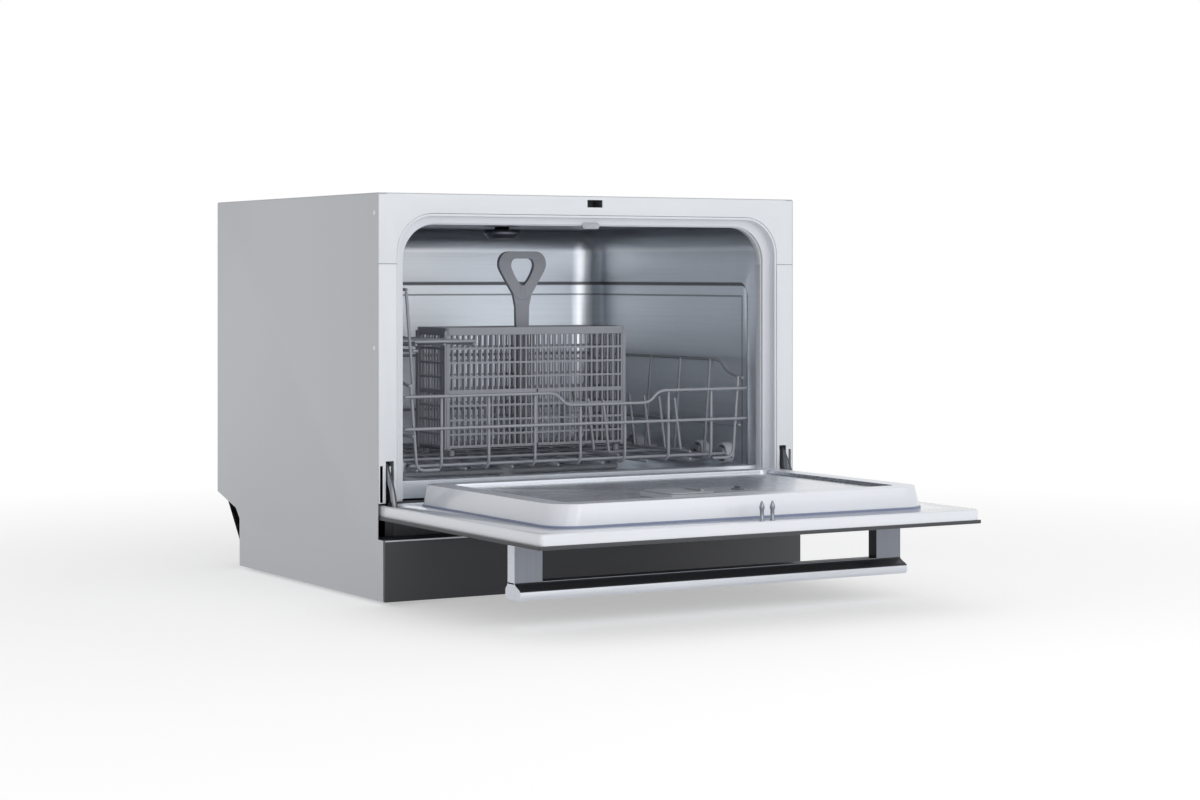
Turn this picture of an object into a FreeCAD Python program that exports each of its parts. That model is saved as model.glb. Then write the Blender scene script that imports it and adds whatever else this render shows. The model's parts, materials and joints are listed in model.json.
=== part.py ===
import FreeCAD, Part
import Sketcher
import math
import os
from types import SimpleNamespace

Vector = FreeCAD.Vector

# A compact table-top dishwasher that opens at the front.
# Sizes are millimetres. Each sub-part is modelled from the front frame's plane (y = 0),
# the middle of the case (x = 0) and the surface it stands on (z = 0), and is then moved
# back so that the model's origin lies under the middle of the whole machine, door open.

# Driving dimensions. Each one becomes a cell of the document's sheet.
drivingSizes = dict(
    # Case
    caseWidth=550.0,
    caseHeight=450.0,
    caseDepth=462.0,
    skin=0.8,
    panelFlange=10.0,
    footHeight=4.0,
    footRadius=15.0,
    footInset=38.0,
    # Step at the lower back, where the hoses leave
    stepBack=71.0,
    stepTop=90.0,
    stepLow=74.0,
    stepRun=12.0,
    # Plinth under the door
    plinthTop=71.0,
    plinthReach=16.9,
    plinthThickness=4.0,
    # Front frame round the mouth
    frameSide=23.0,
    frameCrown=22.0,
    frameWall=1.5,
    frameDepth=24.0,
    recessRadius=45.0,
    recessDepth=15.0,
    lipSide=14.0,
    lipCrown=12.0,
    mouthRadius=40.0,
    trimHeight=78.0,
    pillarBottom=110.0,
    armSlotTop=156.0,
    # Tub
    tubSheet=1.0,
    tubWiden=2.0,
    tubBehind=44.0,
    tubRadius=30.0,
    tubFlange=12.0,
    railHeight=131.4,
    flangeLow=112.0,
    wallRecess=3.0,
    wallRecessCrown=67.5,
    wallRecessFront=47.0,
    wallRecessRadius=14.0,
    basinSide=33.0,
    basinFront=46.0,
    basinBehind=16.0,
    basinFloor=107.0,
    basinDraft=14.0,
    # Door, measured from its hinge axis
    hingeForward=8.0,
    hingeHeight=101.0,
    doorLower=26.5,
    glassEdge=1.6,
    glassThickness=4.0,
    glassOffset=8.9,
    rimEdge=2.4,
    rimInset=0.6,
    rimTop=6.7,
    rimWall=2.0,
    plugSide=4.0,
    plugLow=6.0,
    plugEnd=36.0,
    plugHeight=23.7,
    plugDraft=4.0,
    plugRadius=18.0,
    plugEndRadius=32.0,
    plugBorder=24.0,
    plugDish=4.0,
    plugSheet=1.0,
    # Handle on the door's glass
    handleSide=31.5,
    handleEnd=111.6,
    handleLeg=15.0,
    handleLegWidth=33.0,
    handleReach=61.5,
    handleNeck=43.5,
    handleGrip=32.0,
    handleLip=8.0,
    # Rack, measured from its front wires
    rackInset=30.0,
    rackBehind=18.0,
    wireRadius=1.8,
    rackFloor=141.5,
    rackMiddle=188.0,
    rackFront=224.0,
    rackDip=210.0,
    rackSide=257.0,
    # Wheels of the rack
    wheelRadius=12.5,
    wheelWidth=12.0,
    wheelSide=16.0,
    wheelPair=54.0,
    wheelFirst=37.0,
    wheelLast=126.0,
    axleRadius=2.5,
    # Clearances
    runningGap=0.05,
    clearGap=0.3,
)

doc = FreeCAD.newDocument("dishwasher")
sheet = doc.addObject("Spreadsheet::Sheet", "Sizes")
for row, (alias, value) in enumerate(drivingSizes.items(), start=1):
    sheet.set("A%d" % row, alias)
    sheet.set("B%d" % row, str(value))
    sheet.setAlias("B%d" % row, alias)
doc.recompute()


class Size(float):
    # A length that also carries the sheet formula it comes from.
    def __new__(cls, value, formula):
        made = float.__new__(cls, value)
        made.formula = formula
        return made

    def __add__(self, other):
        return joined(self, "+", other, float(self) + float(other))

    def __radd__(self, other):
        return joined(other, "+", self, float(other) + float(self))

    def __sub__(self, other):
        return joined(self, "-", other, float(self) - float(other))

    def __rsub__(self, other):
        return joined(other, "-", self, float(other) - float(self))

    def __mul__(self, other):
        return joined(self, "*", other, float(self) * float(other))

    def __rmul__(self, other):
        return joined(other, "*", self, float(other) * float(self))

    def __truediv__(self, other):
        return joined(self, "/", other, float(self) / float(other))

    def __neg__(self):
        return joined(0.0, "-", self, -float(self))


def formulaOf(length):
    return length.formula if isinstance(length, Size) else repr(float(length))


def joined(left, sign, right, value):
    return Size(value, "(%s %s %s)" % (formulaOf(left), sign, formulaOf(right)))


s = SimpleNamespace(**{alias: Size(value, "Sizes." + alias) for alias, value in drivingSizes.items()})

# Sizes that follow from the driving ones, from the case inwards.
caseHalf = s.caseWidth / 2
s.stepDepth = s.caseDepth - s.stepBack
s.recessHalf = caseHalf - s.frameSide
s.recessTop = s.caseHeight - s.frameCrown
s.mouthHalf = s.recessHalf - s.lipSide
s.mouthTop = s.recessTop - s.lipCrown
s.trimBottom = s.caseHeight - s.trimHeight
s.tubHalf = s.mouthHalf + s.tubWiden
s.tubTop = s.mouthTop + s.tubWiden
s.tubBack = s.caseDepth - s.tubBehind
s.wallRecessTop = s.tubTop - s.wallRecessCrown
s.basinHalf = s.tubHalf - s.basinSide
s.basinBack = s.tubBack - s.basinBehind
s.doorUpper = s.caseHeight - s.hingeHeight
s.glassHalf = caseHalf - s.glassEdge
s.rimHalf = s.glassHalf - s.rimEdge
s.plugHalf = s.mouthHalf - s.plugSide
s.plugHigh = s.doorUpper - s.plugEnd
s.handleHalf = caseHalf - s.handleSide
s.handleCentre = s.doorUpper - s.handleEnd
s.rackDepth = s.tubBack - s.rackInset - s.rackBehind
s.wheelTrack = s.mouthHalf - s.wheelSide
s.wheelRear = s.rackDepth - s.wheelLast

# The front frame's plane in the finished model.
frontPlane = (s.hingeForward + s.doorUpper - s.caseDepth) / 2
frameHalf = caseHalf - s.skin
topUnderside = s.caseHeight - s.skin

subParts = []


def bind(item, prop, length):
    item.setExpression(prop, formulaOf(length))


def place(item, x=0.0, y=0.0, z=0.0):
    bind(item, "Placement.Base.x", x)
    bind(item, "Placement.Base.y", frontPlane + y)
    bind(item, "Placement.Base.z", z)


def finish(item, label, x=0.0, y=0.0, z=0.0):
    # Names a sub-part and moves it from its own frame into the model's.
    item.Label = label
    place(item, x, y, z)
    subParts.append(item)
    return item


def shaped(label, shape, x=0.0, y=0.0, z=0.0):
    # A sub-part whose solid is worked out from the sheet's values.
    item = doc.addObject("Part::Feature", label)
    item.Shape = shape
    return finish(item, label, x, y, z)


def block(x0, x1, y0, y1, z0, z1):
    return Part.makeBox(x1 - x0, y1 - y0, z1 - z0, Vector(x0, y0, z0))


def rod(start, end, radius):
    start, end = Vector(*start), Vector(*end)
    return Part.makeCylinder(radius, (end - start).Length, start, end - start)


def wire(points, radius, side):
    # A wire or pipe with eight flat sides, one of them towards the side direction, mitred where it bends.
    points = [Vector(*point) for point in points]
    along = (points[1] - points[0]).normalize()
    across = Vector(*side)
    across = (across - along * across.dot(along)).normalize()
    other = along.cross(across)
    corner = radius / math.cos(math.pi / 8)
    ring = []
    for number in range(8):
        angle = math.pi / 8 + number * math.pi / 4
        ring.append(points[0] + across * (corner * math.cos(angle)) + other * (corner * math.sin(angle)))
    profile = Part.makePolygon(ring + ring[:1])
    if len(points) == 2:
        return Part.Face(profile).extrude(points[1] - points[0])
    return Part.Wire(Part.makePolygon(points)).makePipeShell([profile], True, False, 1)


# Bodies made of sketches and features

def bodyPlane(body, role):
    return next(feature for feature in body.Origin.OriginFeatures if feature.Role == role)


def newSketch(body, role, offset):
    sketch = body.newObject("Sketcher::SketchObject", "Sketch")
    sketch.AttachmentSupport = [(bodyPlane(body, role), "")]
    sketch.MapMode = "FlatFace"
    bind(sketch, "AttachmentOffset.Base.z", offset)
    return sketch


def pin(sketch, geometry, point, x, y):
    # Holds a point of the sketch at its place, measured from the sketch's origin.
    for kind, length in (("DistanceX", x), ("DistanceY", y)):
        number = sketch.addConstraint(Sketcher.Constraint(kind, -1, 1, geometry, point, float(length)))
        if isinstance(length, Size):
            bind(sketch, "Constraints[%d]" % number, length)


def drawPolygon(sketch, points):
    first = sketch.GeometryCount
    count = len(points)
    for index in range(count):
        start, end = points[index], points[(index + 1) % count]
        line = Part.LineSegment(Vector(float(start[0]), float(start[1]), 0), Vector(float(end[0]), float(end[1]), 0))
        sketch.addGeometry(line, False)
    for index in range(count):
        following = first + (index + 1) % count
        sketch.addConstraint(Sketcher.Constraint("Coincident", first + index, 2, following, 1))
        pin(sketch, first + index, 1, *points[index])


def drawRectangle(sketch, x0, x1, y0, y1):
    drawPolygon(sketch, [(x0, y0), (x1, y0), (x1, y1), (x0, y1)])


def drawCircle(sketch, x, y, radius):
    index = sketch.addGeometry(Part.Circle(Vector(float(x), float(y), 0), Vector(0, 0, 1), float(radius)), False)
    pin(sketch, index, 3, x, y)
    number = sketch.addConstraint(Sketcher.Constraint("Radius", index, float(radius)))
    if isinstance(radius, Size):
        bind(sketch, "Constraints[%d]" % number, radius)


# The sketch planes and the side that a pad grows to: x, y and z name the axis padded along.
padPlanes = {"x": "YZ_Plane", "y": "XZ_Plane", "z": "XY_Plane"}


def newBody(label):
    body = doc.addObject("PartDesign::Body", label)
    body.Label = label + "_body"
    return body


def pad(body, axis, low, high, draw):
    # Fills the drawn outline from low to high along the axis.
    offset = -high if axis == "y" else low
    sketch = newSketch(body, padPlanes[axis], offset)
    draw(sketch)
    feature = body.newObject("PartDesign::Pad", "Pad")
    feature.Profile = sketch
    bind(feature, "Length", high - low)
    doc.recompute()
    return feature


def pocket(body, axis, low, high, draw):
    # Clears the drawn outline from low to high along the axis.
    offset = -high if axis == "y" else low
    sketch = newSketch(body, padPlanes[axis], offset)
    draw(sketch)
    feature = body.newObject("PartDesign::Pocket", "Pocket")
    feature.Profile = sketch
    feature.Reversed = True
    before = body.Shape.Volume
    bind(feature, "Length", high - low)
    doc.recompute()
    if not body.Shape.Volume < before:
        raise RuntimeError("a pocket of %s cut nothing" % body.Label)
    return feature


def edgesWhere(shape, test):
    return ["Edge%d" % (index + 1) for index, edge in enumerate(shape.Edges) if test(edge)]


def runsAlong(edge, axis):
    if not isinstance(edge.Curve, Part.Line):
        return False
    direction = edge.Curve.Direction
    return abs(abs(getattr(direction, axis)) - 1.0) < 1e-6


def fillet(body, radius, test):
    base = body.Tip
    names = edgesWhere(base.Shape, test)
    if not names:
        raise RuntimeError("no edge to round on %s" % body.Label)
    feature = body.newObject("PartDesign::Fillet", "Fillet")
    feature.Base = (base, names)
    bind(feature, "Radius", radius)
    doc.recompute()
    return feature


def bevel(body, size, test):
    base = body.Tip
    feature = body.newObject("PartDesign::Chamfer", "Chamfer")
    feature.Base = (base, edgesWhere(base.Shape, test))
    feature.Size = size
    doc.recompute()
    return feature


# Case

lowerFront = s.plinthThickness - s.plinthReach


def sideOutline(inset):
    # The side's outline, seen along X: drawn in by the inset, but run out past its open front.
    low = s.footHeight + inset
    high = topUnderside - inset
    back = s.caseDepth - inset
    step = s.stepDepth - inset
    if inset == 0:
        front = [(0.0, high), (0.0, s.plinthTop), (lowerFront, s.plinthTop), (lowerFront, low)]
    else:
        front = [(lowerFront - s.panelFlange, high), (lowerFront - s.panelFlange, low)]
    rear = [(step, low), (step, s.stepLow + inset - s.stepRun), (step + s.stepRun, s.stepLow + inset)]
    return front + rear + [(back, s.stepTop + inset), (back, high)]


def makeSidePanel(label, side):
    # Painted sheet folded inwards along its top, back and lower edges.
    low, high = (-caseHalf, s.panelFlange - caseHalf) if side < 0 else (caseHalf - s.panelFlange, caseHalf)
    innerLow, innerHigh = (low + s.skin, high) if side < 0 else (low, high - s.skin)
    body = newBody(label)
    pad(body, "x", low, high, lambda k: drawPolygon(k, sideOutline(0)))
    pocket(body, "x", innerLow, innerHigh, lambda k: drawPolygon(k, sideOutline(s.skin)))
    finish(body, label)


def makeTopPanel():
    # Flat painted sheet with rounded corners that closes the case above.
    body = newBody("top_panel")
    pad(body, "z", topUnderside, s.caseHeight, lambda k: drawRectangle(k, -caseHalf, caseHalf, 0, s.caseDepth))
    fillet(body, s.skin * 4, lambda e: runsAlong(e, "z"))
    finish(body, "top_panel")


ventCount = 9
ventPitch = 14.0
ventWidth = 5.0
ventHeight = 42.0
ventFoot = 160.0


def makeBackPanel():
    # Sheet that closes the back and folds forward over the step, with a row of vents.
    body = newBody("back_panel")
    inner = s.caseDepth - s.skin - s.skin
    outer = s.caseDepth - s.skin
    low = s.stepTop + s.skin
    tip = s.stepDepth + s.stepRun - s.skin
    outline = [(outer, topUnderside - s.skin), (inner, topUnderside - s.skin), (inner, low + s.skin)]
    outline += [(tip, s.stepLow + s.skin + s.skin), (tip, s.stepLow + s.skin), (outer, low)]
    half = frameHalf - 0.2
    pad(body, "x", -half, half, lambda k: drawPolygon(k, outline))
    ventEdge = -ventPitch * (ventCount - 1) / 2
    top = ventFoot + ventHeight
    cut = pocket(body, "y", inner - 1, outer + 1, lambda k: drawRectangle(k, ventEdge, ventEdge + ventWidth, ventFoot, top))
    pattern = body.newObject("PartDesign::LinearPattern", "Vents")
    pattern.Originals = [cut]
    pattern.Direction = (bodyPlane(body, "X_Axis"), [""])
    pattern.Length = ventPitch * (ventCount - 1)
    pattern.Occurrences = ventCount
    body.Tip = pattern
    doc.recompute()
    finish(body, "back_panel")


armX, armY = 0.0, s.tubBack - 193
sumpX, sumpY = 88.0, s.tubBack - 118
springX = caseHalf - 25
springBack = s.stepDepth - 95
drainX = sumpX + 87
outletHeight = 40.0
spigotRadius = 10.0
inletX = caseHalf - 47
inletRadius = 13.2
inletReach = 14.0
glandX = 50 - caseHalf
glandRadius = 7.5
trayWall = 2.5
trayHalf = frameHalf - 0.2
trayBack = s.stepDepth - s.skin
trayFront = lowerFront
trayFloor = s.footHeight + s.skin
riserFront = s.frameDepth - 1.3
riserTop = s.pillarBottom - 0.3
ribHeight = 14.0
footX = caseHalf - s.footInset
footFront = s.footInset
footBack = s.stepDepth - s.footInset


def eachFoot(draw):
    for x in (-footX, footX):
        for y in (footFront, footBack):
            draw(x, y)


def makeBaseTray():
    # Moulded drip tray that carries the pumps: open above, ribbed, with a riser behind the door's lower end.
    body = newBody("base_tray")
    inner = trayHalf - trayWall
    pad(body, "z", trayFloor, s.plinthTop, lambda k: drawRectangle(k, -trayHalf, trayHalf, trayFront, trayBack))
    wallBottom = trayFloor + trayWall
    pocket(body, "z", wallBottom, s.plinthTop,
           lambda k: drawRectangle(k, -inner, inner, trayFront + trayWall, trayBack - trayWall))
    ledge = s.plinthTop - trayWall
    pad(body, "z", ledge, s.plinthTop, lambda k: drawRectangle(k, -inner - 1, inner + 1, trayFront + 1, s.frameDepth))
    pad(body, "z", ledge, riserTop, lambda k: drawRectangle(k, -s.recessHalf, s.recessHalf, riserFront, s.frameDepth - 0.02))
    rib = pad(body, "y", 120.0, 122.0, lambda k: drawRectangle(k, -inner - 1, inner + 1, wallBottom - 1, wallBottom + ribHeight))
    pattern = body.newObject("PartDesign::LinearPattern", "Ribs")
    pattern.Originals = [rib]
    pattern.Direction = (bodyPlane(body, "Y_Axis"), [""])
    pattern.Length = 240.0
    pattern.Occurrences = 2
    body.Tip = pattern
    doc.recompute()
    for side in (-1, 1):
        ends = sorted((side * (springX - 3), side * (springX + 3)))
        pad(body, "z", wallBottom - 1, s.plinthTop, lambda k: drawRectangle(k, ends[0], ends[1], springBack, springBack + 8))
    for x, radius in ((drainX, spigotRadius), (inletX, inletRadius - 2), (glandX, glandRadius)):
        grown = radius + 0.1
        pocket(body, "y", trayBack - trayWall - 1, trayBack + 1, lambda k: drawCircle(k, x, outletHeight, grown))
    finish(body, "base_tray")


def makeFeet():
    # Rubber feet under the tray.
    body = newBody("feet")
    pad(body, "z", 0.0, trayFloor, lambda k: eachFoot(lambda x, y: drawCircle(k, x, y, s.footRadius)))
    finish(body, "feet")


def makePlinth():
    # Dark glossy strip below the door, level with the door's glass when the door is shut.
    body = newBody("plinth_panel")
    half = caseHalf - 0.4
    pad(body, "y", -s.plinthReach, lowerFront, lambda k: drawRectangle(k, -half, half, s.footHeight, s.plinthTop))
    fillet(body, s.skin, lambda e: runsAlong(e, "x") and e.CenterOfMass.y < -s.plinthReach + 1)
    finish(body, "plinth_panel")


# Front frame, seal and lock

def archWire(half, top, radius, low):
    # Straight legs joined over the top by two rounded corners, closed along the bottom.
    left, right = -half, half
    bend = radius * (1 - math.sqrt(0.5))
    corners = [Vector(left, 0, low), Vector(left, 0, top - radius), Vector(left + bend, 0, top - bend)]
    corners += [Vector(left + radius, 0, top), Vector(right - radius, 0, top)]
    corners += [Vector(right - bend, 0, top - bend), Vector(right, 0, top - radius), Vector(right, 0, low)]
    edges = [Part.LineSegment(corners[0], corners[1]).toShape()]
    edges.append(Part.Arc(corners[1], corners[2], corners[3]).toShape())
    edges.append(Part.LineSegment(corners[3], corners[4]).toShape())
    edges.append(Part.Arc(corners[4], corners[5], corners[6]).toShape())
    edges.append(Part.LineSegment(corners[6], corners[7]).toShape())
    edges.append(Part.LineSegment(corners[7], corners[0]).toShape())
    return Part.Wire(edges)


def arch(half, top, radius, low, front, back):
    # The solid inside an arch outline, between two depths.
    solid = Part.Face(archWire(half, top, radius, low)).extrude(Vector(0, back - front, 0))
    solid.translate(Vector(0, front, 0))
    return solid


slotHalf = 10.0
slotLow = s.caseHeight - 13
slotHigh = s.caseHeight - 4.5


def makeTrim():
    # Moulded trim over the mouth: outer face, recess wall, seal band and lip, hollow behind.
    low = s.trimBottom
    wall = s.frameWall
    width = frameHalf - 0.1
    top = topUnderside
    whole = block(-width, width, 0.0, s.frameDepth, low, top)
    recess = arch(s.recessHalf, s.recessTop, s.recessRadius, low, 0.0, s.recessDepth)
    mouth = arch(s.mouthHalf, s.mouthTop, s.mouthRadius, low, 0.0, s.frameDepth)
    outerHollow = block(wall - width, width - wall, wall, s.frameDepth, low, top - wall)
    keep = arch(s.recessHalf + wall, s.recessTop + wall, s.recessRadius + wall, low, wall, s.frameDepth)
    outerHollow = outerHollow.cut(keep)
    bandBack = s.recessDepth + wall
    innerHollow = arch(s.recessHalf + wall, s.recessTop + wall, s.recessRadius + wall, low, bandBack, s.frameDepth)
    lip = arch(s.mouthHalf + wall, s.mouthTop + wall, s.mouthRadius + wall, low, bandBack, s.frameDepth)
    innerHollow = innerHollow.cut(lip)
    slot = block(-slotHalf, slotHalf, 0.0, wall, slotLow, slotHigh)
    inner = caseHalf - s.panelFlange - 0.1
    notches = [block(x0, x1, -1.0, s.frameDepth + 1, top - s.skin - 0.02, top + 1) for x0, x1 in
               ((-caseHalf, -inner), (inner, caseHalf))]
    shape = whole.cut([recess, mouth, outerHollow, innerHollow, slot] + notches)
    shaped("front_frame_trim", shape.removeSplitter())


gapSlotInner = caseHalf - 6.2
gapSlotOuter = caseHalf - 2.8
plateThickness = 2.5
bracketPlane = caseHalf - 17
armPlane = caseHalf - 12.3
armSlotInner = bracketPlane - plateThickness
armSlotOuter = armPlane + plateThickness


def makePillar(label, side):
    # Folded strip beside the mouth, slotted for the door's hinge arm.
    body = newBody(label)
    wall = s.frameWall
    width = frameHalf - 0.1
    profile = [(width, s.frameDepth - 2), (width, 0.0), (s.recessHalf, 0.0), (s.recessHalf, s.recessDepth)]
    profile += [(s.mouthHalf, s.recessDepth), (s.mouthHalf, s.frameDepth), (s.mouthHalf + wall, s.frameDepth)]
    profile += [(s.mouthHalf + wall, s.recessDepth + wall), (s.recessHalf + wall, s.recessDepth + wall)]
    profile += [(s.recessHalf + wall, wall), (width - wall, wall), (width - wall, s.frameDepth - 2)]
    mirrored = [(side * x, y) for x, y in profile]
    pad(body, "z", s.pillarBottom, s.trimBottom, lambda k: drawPolygon(k, mirrored))
    ends = sorted((side * armSlotInner, side * armSlotOuter))
    pocket(body, "y", -1.0, wall + 1, lambda k: drawRectangle(k, ends[0], ends[1], s.pillarBottom - 1, s.armSlotTop))
    gap = sorted((side * gapSlotInner, side * gapSlotOuter))
    pocket(body, "y", -1.0, wall + 1, lambda k: drawRectangle(k, gap[0], gap[1], s.pillarBottom + 1, s.armSlotTop - 5))
    finish(body, label)


sealLip = 3.0
sealBand = 3.5


def makeDoorSeal():
    # Rubber seal on the band round the mouth, with a soft lip that meets the shut door.
    low = s.flangeLow
    gap = s.clearGap
    outer = (s.recessHalf - gap, s.recessTop - gap, s.recessRadius - gap)
    lip = (outer[0] - sealLip, outer[1] - sealLip, outer[2] - sealLip)
    mouth = (s.mouthHalf + 1, s.mouthTop + 1, s.mouthRadius + 1)
    band = s.recessDepth - gap
    base = arch(*outer, low, band - sealBand, band).cut(arch(*mouth, low, 0.0, band))
    ridge = arch(*outer, low, 0.5, band).cut(arch(*lip, low, 0.0, band))
    shaped("door_seal", base.fuse(ridge).removeSplitter())


lockHalf = 26.0
lockDepth = 26.0


def makeDoorLock():
    # Catch box behind the trim's slot, hollow where the door's hook comes in.
    lowest = s.recessTop + s.frameWall + 0.5
    highest = topUnderside - s.frameWall - 0.3
    front = s.frameWall + 0.02
    box = block(-lockHalf, lockHalf, front, front + lockDepth, lowest, highest)
    mouth = block(-slotHalf, slotHalf, front - 1, front + 21, slotLow - 0.5, slotHigh)
    shaped("door_lock", box.cut(mouth))


tabHalf = 11.0


def makeSplashTab():
    # Small clear tab clipped under the seal at the middle of the mouth.
    low = s.mouthTop - 3.5
    front = s.recessDepth - s.clearGap - sealBand - 2.3
    plate = block(-tabHalf, tabHalf, front, front + 2, low, s.mouthTop + 3.5)
    plate = plate.makeFillet(3.0, [edge for edge in plate.Edges if runsAlong(edge, "y")])
    shaped("splash_tab", plate)


# Tub and what hangs under it

sumpHole = 50.0
stemHole = 11.0
ceilingHole = 9.3
basinCorner = 40.0


def roundedRectangle(x0, x1, y0, y1, z, radius, nearRadius=None):
    # A closed wire with four rounded corners, level at z; the corners at y0 may have a radius of their own.
    edges = []
    corners = [(x1, y0, -1, 1), (x1, y1, -1, -1), (x0, y1, 1, -1), (x0, y0, 1, 1)]
    starts = []
    for number, (x, y, inX, inY) in enumerate(corners):
        reach = nearRadius if nearRadius and y == y0 else radius
        bend = reach * (1 - math.sqrt(0.5))
        alongX = Vector(x + inX * reach, y, z)
        alongY = Vector(x, y + inY * reach, z)
        middle = Vector(x + inX * bend, y + inY * bend, z)
        first, last = (alongX, alongY) if number % 2 == 0 else (alongY, alongX)
        starts.append((first, middle, last))
    for number in range(4):
        first, middle, last = starts[number]
        following = starts[(number + 1) % 4][0]
        edges.append(Part.Arc(first, middle, last).toShape())
        edges.append(Part.LineSegment(last, following).toShape())
    return Part.Wire(edges)


def tubCavity(grow):
    # The washing space, or its outside when it is grown by the sheet's thickness.
    half = s.tubHalf + grow
    low = s.railHeight - grow
    front = s.frameDepth
    back = s.tubBack + grow
    main = block(-half, half, front, back, low, s.tubTop + grow)
    rounded = [e for e in main.Edges if e.CenterOfMass.z > low + 1 and e.CenterOfMass.y > front + 1]
    main = main.makeFillet(s.tubRadius + grow, rounded)
    recessHalf = half + s.wallRecess
    recess = block(-recessHalf, recessHalf, s.wallRecessFront - grow, back + s.wallRecess, low, s.wallRecessTop + grow)
    upright = [e for e in recess.Edges if runsAlong(e, "z") and e.CenterOfMass.y > s.tubBack]
    recess = recess.makeFillet(s.tubRadius + s.wallRecess + grow, upright)
    crown = [e for e in recess.Edges if runsAlong(e, "x") and e.CenterOfMass.y < s.wallRecessFront + 1]
    crown = [e for e in crown if e.CenterOfMass.z > s.wallRecessTop - 1]
    recess = recess.makeFillet(s.wallRecessRadius, crown)
    cavity = main.fuse(recess).removeSplitter()
    upper = roundedRectangle(-s.basinHalf - grow, s.basinHalf + grow, s.basinFront - grow, s.basinBack + grow,
                             s.railHeight + 0.5, basinCorner)
    lowHalf = s.basinHalf - s.basinDraft + grow
    lower = roundedRectangle(-lowHalf, lowHalf, s.basinFront + s.basinDraft - grow,
                             s.basinBack - s.basinDraft + grow, s.basinFloor - grow, basinCorner - 10)
    basin = Part.makeLoft([upper, lower], True, True)
    return cavity.fuse(basin).removeSplitter()


def makeTub():
    # Pressed steel tub: rounded corners, recessed walls, wheel ledges and a sunk floor with its ports.
    shell = tubCavity(s.tubSheet).cut(tubCavity(0.0))
    front, back = s.frameDepth, s.frameDepth + s.tubSheet
    outer = s.tubFlange
    flange = arch(s.mouthHalf + outer, s.mouthTop + outer, s.mouthRadius + outer, s.flangeLow, front, back)
    opening = arch(s.mouthHalf, s.mouthTop, s.mouthRadius, s.railHeight, front, back)
    shell = shell.fuse(flange.cut(opening))
    sumpBore = rod((sumpX, sumpY, s.basinFloor - 10), (sumpX, sumpY, s.basinFloor + 10), sumpHole)
    stemBore = rod((armX, armY, s.basinFloor - 10), (armX, armY, s.basinFloor + 10), stemHole)
    ceilingBore = rod((armX, armY, s.tubTop - 10), (armX, armY, s.tubTop + 10), ceilingHole)
    shaped("tub", shell.cut([sumpBore, stemBore, ceilingBore]).removeSplitter())


portHeight = 76.0
heaterHeight = 80.0
stemRadius = 7.0
stemTop = 120.0


def makeSump():
    # Moulded bowl under the filter with its ports, joined by a channel to the manifold that carries the spray arm's stem.
    body = newBody("sump")
    wall = 2.5
    top = s.basinFloor - s.tubSheet
    low = 44.0
    armAcross, armBack = armX - sumpX, armY - sumpY
    pad(body, "z", low, top, lambda k: drawCircle(k, 0.0, 0.0, sumpHole - 1))
    pocket(body, "z", low + wall, top + 1, lambda k: drawCircle(k, 0.0, 0.0, sumpHole - 1 - wall))
    pad(body, "x", -sumpHole - 4, 4 - sumpHole, lambda k: drawCircle(k, 0.0, portHeight, 12.0))
    pad(body, "x", sumpHole - 4, sumpHole + 4, lambda k: drawCircle(k, 0.0, portHeight, 8.0))
    pad(body, "z", 66.0, top, lambda k: drawCircle(k, armAcross, armBack, 19.0))
    pad(body, "z", top - 1, stemTop, lambda k: drawCircle(k, armAcross, armBack, stemRadius))
    web = [(armAcross + 12, armBack - 4), (armAcross + 20, armBack + 8), (-42.0, -16.0), (-34.0, -32.0)]
    pad(body, "z", 90.0, top, lambda k: drawPolygon(k, web))
    pad(body, "x", armAcross - 26, armAcross - 15, lambda k: drawCircle(k, armBack, heaterHeight, 9.0))
    finish(body, "sump", sumpX, sumpY, 0.0)


filterRadius = 30.0
filterTop = 113.0
plateRadius = 56.0


def makeFilterPlate():
    # Flat steel strainer on the basin's floor round the lift-out filter.
    body = newBody("filter_plate")
    low = s.basinFloor
    pad(body, "z", low, low + 1.0, lambda k: drawCircle(k, 0.0, 0.0, plateRadius))
    pocket(body, "z", low - 1, low + 2, lambda k: drawCircle(k, 0.0, 0.0, filterRadius + 1.0))
    finish(body, "filter_plate", sumpX, sumpY, 0.0)


def makeFilterCylinder():
    # Lift-out coarse filter: a cup with a flange and a bar across its top to turn it by.
    body = newBody("filter_cylinder")
    low = 62.0
    pad(body, "z", low, filterTop - 4, lambda k: drawCircle(k, 0.0, 0.0, filterRadius))
    pad(body, "z", s.basinFloor + 1.2, filterTop - 4, lambda k: drawCircle(k, 0.0, 0.0, filterRadius + 3))
    pocket(body, "z", low + 2, filterTop, lambda k: drawCircle(k, 0.0, 0.0, filterRadius - 2))
    pad(body, "x", 1 - filterRadius, filterRadius - 1, lambda k: drawRectangle(k, -3.0, 3.0, filterTop - 14, filterTop))
    finish(body, "filter_cylinder", sumpX, sumpY, 0.0)


armLow = 111.0
armMiddle = 121.5
armReach = 158.0
armHalf = 4.5


def makeSprayArm():
    # Lower spray arm: two tapered wings with bevelled edges on a hub that turns on the manifold's stem.
    body = newBody("lower_spray_arm")
    outline = []
    for side in (1, -1):
        outline += [(side * 20.0, -side * 16.0), (side * armReach, -side * 9.0), (side * (armReach + 4), -side * 5.0)]
        outline += [(side * (armReach + 4), side * 5.0), (side * armReach, side * 9.0), (side * 20.0, side * 16.0)]
    pad(body, "z", armMiddle - armHalf, armMiddle + armHalf, lambda k: drawPolygon(k, outline))
    bevel(body, armHalf * 0.6, lambda e: not runsAlong(e, "z"))
    pad(body, "z", armLow, armMiddle + 6, lambda k: drawCircle(k, 0.0, 0.0, 17.0))
    pocket(body, "z", armLow - 1, stemTop + 0.5, lambda k: drawCircle(k, 0.0, 0.0, stemRadius + s.runningGap))
    finish(body, "lower_spray_arm", armX, armY, 0.0)


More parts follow.
